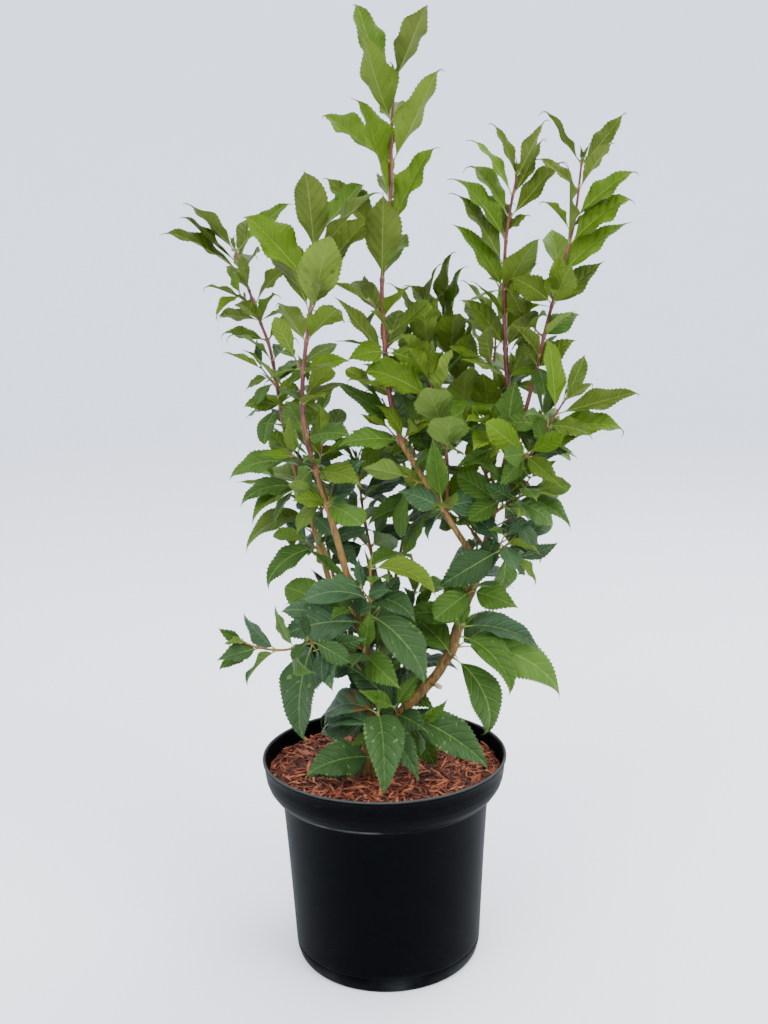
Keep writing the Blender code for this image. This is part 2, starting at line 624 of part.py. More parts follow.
def tube_mesh(name, path, thick, sides, foot, from_mulch):
    """A tapering tube along a path. One that stands in the mulch flares and ends in a flat cut."""
    curve = bpy.data.curves.new(name, "CURVE")
    curve.dimensions = "3D"
    curve.bevel_depth = MM
    curve.bevel_resolution = sides // 2 - 2
    curve.use_fill_caps = True
    stops = [foot] + [path.run[i] for i in range(0, len(path.run), TUBE_STRIDE)
                      if path.run[i] > foot + 1 * MM]
    rings = []
    for stop in stops:
        flare = 1 + FOOT_FLARE * math.exp(-stop / MM / FOOT_REACH) if from_mulch else 1
        rings.append((path.at(stop)[0], mix(thick, stop / path.length) * flare))
    if from_mulch:
        spot, ahead = path.at(0.0)
        rings.insert(0, (spot - ahead * ROOT_DEPTH * MM, rings[0][1]))
    spline = curve.splines.new("POLY")
    spline.points.add(len(rings) - 1)
    for point, (spot, radius) in zip(spline.points, rings):
        point.co = (*spot, 1.0)
        point.radius = radius
    holder = bpy.data.objects.new(name, curve)
    mesh = bpy.data.meshes.new_from_object(holder)
    bpy.data.objects.remove(holder)
    bpy.data.curves.remove(curve)
    shape = bmesh.new()
    shape.from_mesh(mesh)
    bmesh.ops.remove_doubles(shape, verts=shape.verts, dist=0.00001)
    if from_mulch:
        whole = shape.verts[:] + shape.edges[:] + shape.faces[:]
        level = Vector((0.0, 0.0, (MULCH_TOP + GAP) * MM))
        bmesh.ops.bisect_plane(shape, geom=whole, plane_co=level, plane_no=UP, clear_inner=True)
        rim = [edge for edge in shape.edges if edge.is_boundary]
        bmesh.ops.contextual_create(shape, geom=rim)
    bmesh.ops.recalc_face_normals(shape, faces=shape.faces)
    shape.to_mesh(mesh)
    shape.free()
    return mesh


def keep_largest(mesh):
    """Drop loose scraps, and fill sealed hollows, by keeping only the largest shell."""
    shape = bmesh.new()
    shape.from_mesh(mesh)
    waiting = set(shape.verts)
    shells = []
    while waiting:
        shell = set()
        edge_of_shell = [waiting.pop()]
        while edge_of_shell:
            vertex = edge_of_shell.pop()
            shell.add(vertex)
            for edge in vertex.link_edges:
                other = edge.other_vert(vertex)
                if other in waiting:
                    waiting.discard(other)
                    edge_of_shell.append(other)
        shells.append(shell)
    shells.sort(key=len)
    for shell in shells[:-1]:
        bmesh.ops.delete(shape, geom=list(shell), context="VERTS")
    bmesh.ops.triangulate(shape, faces=shape.faces)
    shape.to_mesh(mesh)
    shape.free()


def fuse(body, leaves):
    """Join the leaves to the shoot by one union, and apply it."""
    loose = bpy.data.collections.new(body.name + "_leaves")
    bpy.context.scene.collection.children.link(loose)
    for i, leaf in enumerate(leaves):
        name = "%s_leaf_%02d" % (body.name, i)
        loose.objects.link(bpy.data.objects.new(name, mesh_from(name, *leaf.solid())))
    union = body.modifiers.new("fuse", "BOOLEAN")
    union.operation = "UNION"
    union.operand_type = "COLLECTION"
    union.collection = loose
    union.solver = "EXACT"
    graph = bpy.context.evaluated_depsgraph_get()
    fused = bpy.data.meshes.new_from_object(body.evaluated_get(graph))
    body.modifiers.remove(union)
    body.data = fused
    for leaf in list(loose.objects):
        bpy.data.objects.remove(leaf)
    bpy.data.collections.remove(loose)
    keep_largest(body.data)


def finish(body, slot, materials, parent):
    body.data.materials.clear()
    body.data.materials.append(materials[slot])
    body.parent = parent


def leaf_slot(name):
    if name in YOUNG:
        return "young_leaf"
    return "deep_leaf" if name in DEEP else "green_leaf"


def build():
    for old in list(bpy.data.objects):
        bpy.data.objects.remove(old)
    parts = bpy.data.collections.new("potted_forsythia")
    bpy.context.scene.collection.children.link(parts)
    materials = {name: make_material(name) for name in FINISHES}
    root = bpy.data.objects.new("forsythia_root", None)
    parts.objects.link(root)

    space = Space()
    turned = (("pot", pot_profile(), "black_plastic"), ("potting_soil", soil_profile(), "dark_soil"),
              ("bark_mulch", mulch_profile(), "brown_mulch"))
    for name, profile, slot in turned:
        body = turned_object(name, profile)
        parts.objects.link(body)
        finish(body, slot, materials, root)
    graph = bpy.context.evaluated_depsgraph_get()
    pot_mesh = bpy.data.meshes.new_from_object(bpy.data.objects["pot"].evaluated_get(graph))
    space.add_mesh("pot", pot_mesh)
    bpy.data.meshes.remove(pot_mesh)

    for table, sides in ((LIMBS, 8), (SHOOTS, 4)):
        for name, item in table.items():
            path = Path(item["points"])
            from_mulch = item["points"][0][2] == MULCH_TOP
            foot = 0.0 if from_mulch else clear_foot(path, item["thick"][0], space)
            mesh = tube_mesh(name, path, item["thick"], sides, foot, from_mulch)
            space.add_mesh(name, mesh)
            body = bpy.data.objects.new(name, mesh)
            parts.objects.link(body)
            finish(body, "tan_bark" if table is LIMBS else leaf_slot(name), materials, root)

    grown = {name: [] for name in SHOOTS}
    draws = {name: random.Random(shoot["seed"]) for name, shoot in SHOOTS.items()}
    waiting = []
    for name, shoot in SHOOTS.items():
        for k, spot in enumerate(nodes(shoot, Path(shoot["points"]))):
            for side, way in enumerate(pair_ways(shoot, k, spot, draws[name])):
                reach = shoot["reach"].get(k, (None, None))[side] or (0, 0)
                waiting.append((-math.hypot(*reach), name, way))
    for _, name, way in sorted(waiting, key=lambda entry: entry[0]):
        leaf = place_leaf(way, name, "leaf of " + name, space)
        if leaf:
            grown[name].append(leaf)
            space.add("leaf of " + name, *leaf.solid())

    for name, leaves in grown.items():
        fuse(bpy.data.objects[name], leaves)
        finish(bpy.data.objects[name], leaf_slot(name), materials, root)
    return grown


build()
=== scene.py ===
"""The looks of a young spectabilis forsythia in its round nursery pot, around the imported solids.

The tables are in millimetres and degrees, as in the part's source, and the meshes in metres. +Z is
up, the front looks along -Y, and the origin is the middle of the pot's underside. The shoots and
leaves grow by the source's rule, with the same places and seeds, and each leaf is then made fine:
a toothed blade with its veins, a midrib, a stalk, and buds and small leaves at the nodes.
"""

import math
import random

import bmesh
import bpy
import numpy as np
from mathutils import Matrix, Vector, noise
from mathutils.bvhtree import BVHTree


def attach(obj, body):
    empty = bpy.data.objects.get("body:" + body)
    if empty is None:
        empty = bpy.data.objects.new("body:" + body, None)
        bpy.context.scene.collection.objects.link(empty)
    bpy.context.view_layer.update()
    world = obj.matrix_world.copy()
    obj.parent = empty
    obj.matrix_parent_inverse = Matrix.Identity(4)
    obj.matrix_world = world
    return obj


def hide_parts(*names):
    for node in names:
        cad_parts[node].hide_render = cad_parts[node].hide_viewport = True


MM = 0.001
RIGHT = Vector((1.0, 0.0, 0.0))
FRONT = Vector((0.0, -1.0, 0.0))

# The view of the photograph
PICTURE_HEIGHT = 1024
FOCAL_PIXELS = 1050
SENSOR = 36.0
CAMERA_AT = (0.0036, -0.799, 0.486)
CAMERA_PITCH = 9.17
CAMERA_ROLL = 1.19

# Pot, as in the source
SHELL = 1.8
FLOOR = 3.0
BAND = ((97.0, 162.6), (95.8, 159.0), (95.2, 153.0), (94.0, 147.0), (91.8, 141.5), (88.8, 138.0),
        (87.6, 136.0), (83.4, 132.6))
BODY = ((82.2, 130.6), (80.6, 110.0), (78.6, 80.0), (75.2, 20.0), (74.6, 8.0), (72.8, 1.6),
        (71.6, 0.0))
MULCH_TOP = 154.0
MULCH_EDGE = 151.0
MULCH_FLAT = 44.0
MULCH_DROP = 1.8

# The rule, as in the source
GAP = 0.3
PATH_STEPS = 6
FOOT_FLARE = 0.35
FOOT_REACH = 12.0
FOOT_STEP = 0.1
NODE_OFFSET = 0.2
STALK = 0.1
STALK_HALF_WIDTH = 0.6
WIDEST_FALL = 0.75
POINT_FALL = 1.2
STATIONS = (0.0, 0.17, 0.42, 0.72)
SMALL_STATIONS = (0.0, 0.24, 0.60)
SMALL_LEAF = 46.0
LEAF_THICK = 0.014
LEAST_THICK = 0.9
FREE_OF_LEAVES = 0.14
FREE_OF_SHOOT = 0.3
COMPASS_STRAY = 22.0
LIFT_STRAY = 12.0
BEND_STRAY = 20.0
LENGTH_STRAY = (0.84, 1.12)
WIDTH_STRAY = (0.88, 1.14)
FACE_STRAY = (0.5, 1.6)
ROLL_AT = 0.4
MOST_ROLL = 58.0
FOLD_STRAY = (0.6, 1.3)
FOLD = (28.0, 12.0)
CHORD = 0.97
DEEPEST = 0.8
ARCH_FROM = 60.0
ARCH = 0.5
SHIFTS = ((0, 0), (5, 0), (-5, 0), (0, 5), (0, -5), (10, 0), (-10, 0), (0, 10), (0, -10), (16, 6),
          (-16, 6), (24, 0), (-24, 0), (0, 18), (0, -18), (40, 0), (-40, 0))
SIDE_CLEAR = 0.6
FACE_CLEAR = 0.45
OVER_MULCH = 156.0
NEAR = 20.0

# The fine leaf, in millimetres or as shares of the leaf. twist, fold and hook are in degrees.
KINDS = {
    "young": {"outline": (1.4, 1.1), "drawn_out": 0.32, "wide": 0.98, "wave": 0.24, "twist": 44,
              "tooth": 0.8, "fold": 4.0, "quilt": 0.06, "hook": (10, 40), "droop": (-0.06, 0.12)},
    "grown": {"outline": (1.05, 1.6), "drawn_out": 0.15, "wide": 1.05, "wave": 0.12, "twist": 30,
              "tooth": 1.0, "fold": 10.0, "quilt": 0.1, "hook": (16, 52), "droop": (0.12, 0.38)},
    "round": {"outline": (1.1, 0.72), "drawn_out": 0.0, "wide": 1.06, "wave": 0.07, "twist": 30,
              "tooth": 0.8, "fold": 2.0, "quilt": 0.08, "hook": (-14, 10), "droop": (0.1, 0.3)},
}
FULL_TURN = 6.28
OUTLINE_SHIFT = 0.8
WAVE_TURNS = (1.6, 3.0)
WAVE_SHIFT = 2.1
QUILT_BASE = 0.6
FEWEST_TEETH = 7
TOOTH_PITCH = 2.9
TOOTH_LEAN = 0.8
TOOTH_DEPTH = 0.7
TOOTH_SHARE = 0.012
TEETH_FROM = 0.18
TEETH_FULL = 0.34
TEETH_FADE = 9
TOOTH_OF_HALF = 0.3
EDGE = 0.99
COLUMNS = (0.0, 0.13, 0.36, 0.6, 0.82, 1.0)
UNDER_COLUMNS = (0.0, 0.36, 0.82)
LINE_STEPS = 48
BLADE_THICK = 0.3
VEINS = 7.0
VEIN_LEAN = 7.0
VEIN_CURVE = 9.0
HOOK_FROM = 0.76

# The midrib: shares along the leaf and its radius there. A short leaf has a finer one.
MIDRIB_RADII = ((0.0, 0.936), (0.02, 0.72), (STALK, 0.36), (1.0, 0.08))
MIDRIB_LEAST = 0.45
MIDRIB_GROWS = 110
MIDRIB_END = 0.985
MIDRIB_STEPS = 18
MIDRIB_SIDES = 6

# The dry thread at a young leaf's tip
HAIR = (3.5, 9.0)
HAIR_FROM = 0.97
HAIR_MOST = 0.2
HAIR_CURL = (0.8, 2.4)
HAIR_RADII = (0.5, 0.18)
HAIR_STEPS = 6

# Twigs and bark
TWIG_SIDES = 12
TWIG_STEP = 1.6
BARK_SIDES = 28
BARK_STEP = 1.1
TWIG_SHARP = 60
BARK_SHARP = 70
LEAF_SHARP = 50
NODE_SWELL = 0.3
NODE_REACH = 1.7
FOOT_SWELL = 0.45
FOOT_SWELL_REACH = 3.5
SQUARENESS = 0.07
BURIED = (7, 4, 2)
OLD_NODE_FROM = (12, 24)
OLD_NODE_GAP = (22, 34)
OLD_NODE_END = 4
OLD_NODE_TURN = (0, 3)
OLD_NODE_REACH = 1.5
OLD_NODE_SWELL = 0.17
OLD_NODE_EVEN = 0.4
# Height as a share of the radius, then how close they lie around and along the limb
RIDGES = (0.075, 3.2, 0.07)
LUMPS = (0.045, 6.0, 0.45)
STUB_STEPS = 9
# How much wider the stub's foot is, and how soon that is gone
STUB_FLARE = (0.25, 5)
STUB_RELIEF = 0.8
CUT_PLACES = (-0.3, 0.15, 0.3)
CUT_RADII = ((0.9, 0.88, 0.6), (1.2, 1.1, 0.6))
CUT_SIDES = 16
BUD_SHARES = (0.0, 0.16, 0.38, 0.6, 0.82, 1.0)
BUD_RADII = (0.16, 0.27, 0.3, 0.22, 0.1, 0.02)
BUD_LENGTH = (2.0, 3.4)
# A bud's foot: the share of the shoot's radius out from its middle, and how far above the node
BUD_SEAT = (0.6, 1.2)
# How far a bud heads out and along the shoot
BUD_LEAN = (0.75, 0.8)
END_BUD = 3.0
END_BUD_SUNK = 0.5
SPUR_BUD = 2.2

# Pot and filling, finer than in the source
POT_STEPS = 144
BED_STEPS = 96
POT_SHARP = 40
STREWN_SHARP = 50
FREE_OF_RIM = 0.5
LIP = ((94.2, 160.2), (94.5, 162.4), (95.3, 163.7), (96.1, 164.0), (96.8, 163.6), (97.05, 162.6),
       (96.9, 161.2), (96.2, 160.3), (95.7, 159.6))
FINE_BAND = ((95.7, 159.6), (95.3, 153.0), (94.3, 147.0), (92.4, 141.8), (90.0, 138.4), (88.6, 136.9),
             (88.3, 135.8), (87.5, 135.2), (84.2, 133.4), (82.5, 131.8), (82.2, 130.0))
FINE_BODY = ((82.2, 130.0), (80.6, 110.0), (78.6, 80.0), (75.2, 20.0), (74.9, 12.8), (74.2, 12.1),
             (74.1, 11.0), (74.7, 10.1), (74.4, 7.0), (72.9, 1.8), (71.4, 0.0))
ARC_STEPS = 3
ARC_MOST = 2.2
BAND_ROUND = 0.7
BODY_ROUND = 0.9
INSIDE_HEIGHTS = (10, 40, 80, 120, 130, 134, 137, 140, 145, 151, 157)
BED_RINGS = 22
BED_SKIRT = (146.0, 142.0, 138.5)
BED_CLEAR = (0.8, 1.2)
MULCH_CRUMBS = ("mulch_crumbs", (34, 19, 13), (92, 52, 36), 260.0)
SOIL_CRUMBS = ("potting_soil", (26, 18, 14), (66, 46, 34), 420.0)
# Black plastic, and the pale colour of its dust and of the painted highlights on the lip and the band's
# lower edge
BLACK_DUST_AND_HIGHLIGHT = ((0, 1, 2), (90, 94, 90))

# A chip, in shares of its length. Its width and its thickness are least at its ends, and the second
# value is what the middle adds.
CHIP_SHAPES = 6
CHIP_RINGS = 5
CHIP_SLIM = (0.35, 1.0)
CHIP_WIDE = (0.02, 0.1)
CHIP_THICK = (0.014, 0.04)
CHIP_STRAY = (0.6, 1.3)
CHIP_ARCH = 0.09
CHIP_BEND = (0.06, 2.3)
CHIP_TILT = 0.3
CHIP_RAGGED = 0.03
CHIP_CORNERS = ((-1, 0), (0, 1), (1, 0.2), (0.2, -1))
DOT_FLATNESS = (1.0, 0.75, 0.6)

# Young growth at a shoot's end: length of the pair, its angle from the shoot and how far back it sits
TIP_PAIRS = ((9, 14, 0.5), (15, 24, 3.0))
# What one of these leaves strays by, and its shape
TIP_SIZE = (0.75, 1.2)
TIP_LIFT_STRAY = 8
TIP_BEND = (-20, 12)
TIP_WIDE = (0.22, 0.3)
TIP_FACE = 0.2
TIP_FOLD = 34

# Which leaves are young or round, and which near a tip take lighter shades: heights and lengths, and
# shares of the way from tip to foot. The lighter tips are partly young growth, partly painted light that
# stands in for light through the leaves.
YOUNG_ABOVE = 420
YOUNG_SHARE = 0.55
ROUND_ABOVE = 250
ROUND_FROM = 0.45
ROUND_LEAF = 54
ROUND_SHARE = 0.3
HEIGHT_STRAY = 45
TIP_LIGHTENING = 170
TIP_LIGHTENING_SHARE = 0.45

# The finer twigs in the axils: how likely from a shoot's tip to its foot, their slope and sizes
SIDE_CHANCE = (-0.15, 1.0)
SIDE_SLOPE = (34, 66)
SIDE_LENGTH = (8, 26)
SIDE_GAP = 9.0
SIDE_GROWS = (0.5, 1.0)
LEAF_GROWS = (0.7, 1.0)
UPTURN = 0.35
SIDE_LEAF = (24, 44)
SIDE_THICK = (0.8, 0.5)

# The spurs on the older wood: the lowest one's place along it and their gap, their length and leaves
LEAFY_WOOD = {"stem_left_front": (34, 21), "stem_left_back": (34, 21), "stem_back": (34, 21),
              "stem_right": (158, 20), "bough_centre": (56, 27)}
SPUR_LENGTH = (9, 20)
SPUR_LEAF = (40, 58)
SPUR_STRAY = 4
SPUR_SEAT = 0.7
SPUR_END = 8
SPUR_SHARE = 0.8
TURN_STRAY = 25
SIDE_TWIG = {"top": 1.0, "gap": (SIDE_GAP, SIDE_GAP), "lift": (40, 66), "bend": (4, 44),
             "wide": (0.38, 0.48), "reach": {}, "thick": SIDE_THICK}
BARE_AXILS = ("foliage_low_right", "foliage_low_front")
FULL_AXILS = ("foliage_right_fan", "foliage_right_spur")

# Leaf colours as sRGB bytes: the upper side's darkest and lightest, the underside's, and the veins'. The
# undersides are paler, and lighter still as painted light that stands in for light shining through the
# leaves.
SHADES = {
    "yellow_green": ((55, 72, 3), (71, 87, 6), ((72, 86, 21), (90, 104, 38)), (106, 121, 48)),
    "fresh_green": ((57, 85, 3), (79, 106, 6), ((78, 99, 19), (96, 116, 35)), (110, 130, 46)),
    "olive_green": ((53, 74, 4), (80, 102, 13), ((83, 105, 22), (104, 125, 42)), (114, 132, 54)),
    # The bluish cast of the lower shades, mid_green, deep_green and most of all blue_green, is partly
    # painted sheen: the sky's bluish reflection put into the leaf colour.
    "mid_green": ((38, 67, 8), (67, 98, 24), ((78, 105, 30), (100, 122, 50)), (106, 128, 58)),
    "deep_green": ((23, 47, 12), (45, 74, 27), ((69, 94, 37), (90, 112, 52)), (88, 115, 60)),
    "blue_green": ((29, 54, 27), (52, 81, 45), ((74, 97, 50), (95, 116, 65)), (96, 118, 74)),
}
DEALT = (
    (560, ("yellow_green", "yellow_green", "fresh_green")),
    (460, ("yellow_green", "fresh_green", "fresh_green", "olive_green")),
    (370, ("fresh_green", "mid_green", "olive_green", "mid_green")),
    (300, ("mid_green", "deep_green", "mid_green", "blue_green")),
    (-100, ("deep_green", "mid_green", "blue_green", "deep_green")),
)
SLOTS = {"yellow_green": "young_leaf", "fresh_green": "young_leaf", "olive_green": "green_leaf",
         "mid_green": "green_leaf", "deep_green": "deep_leaf", "blue_green": "deep_leaf"}
SHINE = {"young_leaf": 0.14, "green_leaf": 0.17, "deep_leaf": 0.22}
DULL_SIDES = (0.5, 0.66)
VEIN_SHARES = (0.6, 0.7)
DRY_SPOT = (96, 62, 26)
SPOTTED_ABOVE = {"mid_green": 0.965, "deep_green": 0.97, "blue_green": 0.95}
NEVER_SPOTTED = 2.0
PLAIN_LOOKS = (
    ("stalk_skin", (84, 112, 32), (128, 148, 62), 0.5),
    ("dry_tip", (58, 34, 30), (96, 60, 48), 0.5),
    ("bud_scale", (110, 92, 50), (140, 140, 70), 0.5),
    ("cut_wood", (168, 150, 110), (206, 190, 150), 0.8),
    ("dot_bark", (112, 92, 58), (158, 138, 96), 0.85),
)
TWIG_BARK = ((134, 100, 40), (88, 58, 22), ((64, 20, 20), (120, 58, 48)), 0.36, 0.45)
STEM_BARK = ((132, 100, 42), (78, 54, 22), ((78, 34, 26), (124, 72, 54)), 0.39, 0.48)
STUBS = (
    ((101.5, 9.6, 400), (104.4, 8.2, 425), 2.7, 0.0),
    ((37.8, -4.0, 221.0), (45.0, -12.5, 219.6), 1.7, 0.4),
    ((14.5, 60, 304), (27.0, 44, 332), 1.2, 0.0),
)

# What is strewn: how close it lies and how many there are at most on a square metre, its least and most
# length in metres, its slope in radians, how far it is raised in metres, and a seed
STREWN_BY = ("Spacing", "Most per area", "Smallest", "Largest", "Tilt", "Raise", "Seed")
DOTS = (0.0022, 90000.0, 0.0005, 0.0011, 0.1, 0.0, 4)
CHIPS = (
    ("dark_bark_shreds", (34, 12, 6), (92, 40, 22), (0.0026, 150000.0, 0.005, 0.013, 0.5, 0.0007, 1)),
    ("red_bark_shreds", (86, 32, 15), (158, 78, 46), (0.003, 110000.0, 0.005, 0.014, 0.45, 0.0013, 2)),
    ("pale_bark_shreds", (112, 52, 28), (184, 116, 74), (0.0075, 30000.0, 0.005, 0.02, 0.34, 0.002, 3)),
)

# Where the seeds of the fine growth start
SHOOT_SEEDS = 500
LIMB_SEEDS = 900
STUB_SEEDS = 20

# Light and room: a lamp's place and size in metres, its power in watts and its colour
LIT_PLACE = (0.0, 0.0, 0.38)
ROOM_COLOUR = (0.87, 0.92, 1.0, 1.0)
ROOM_LIGHT = 2.4
BACKDROP_COLOURS = ((238, 241, 247), (246, 248, 252))
BACKDROP_RINGS = (0, 600, 2500)
BACKDROP_STEPS = 16
BACKDROP_FLAT = 5000
BACKDROP_CURVE = 2400
BACKDROP_HEIGHT = 5200
LAMPS = (
    ("window", (-0.9, -1.5, 2.4), 1.4, 34.0, (1.0, 0.98, 0.93)),
    ("fill", (1.4, -1.2, 1.9), 1.4, 46.0, (1.0, 0.99, 0.93)),
    ("back", (1.2, 1.0, 2.3), 1.4, 34.0, (1.0, 0.99, 0.92)),
)

# Points from foot to tip, as right, back and up. thick is the radius at the foot and at the tip.
LIMBS = {
    "stem_right": {
        "points": ((-8, -10, 154), (13, -7, 196), (46, 0, 231), (64, 4, 276), (79, 6, 312),
                   (88, 8, 352), (104, 10, 413)),
        "thick": (4.6, 2.6),
    },
    "bough_centre": {
        "points": ((79, 6, 312), (64, 4, 333), (42, 2, 370), (18, -2, 410)),
        "thick": (2.6, 2.1),
    },
    "stem_left_front": {
        "points": ((-16, -20, 154), (-11, -17, 213), (-12, -15, 250), (-24, -20, 306)),
        "thick": (3.4, 2.7),
    },
    "stem_left_back": {
        "points": ((-14, 4, 154), (-24, 12, 230), (-39, 22, 289)),
        "thick": (2.9, 2.4),
    },
    "stem_back": {
        "points": ((-3, 8, 154), (-2, 20, 210), (1, 40, 272)),
        "thick": (2.2, 1.8),
    },
}

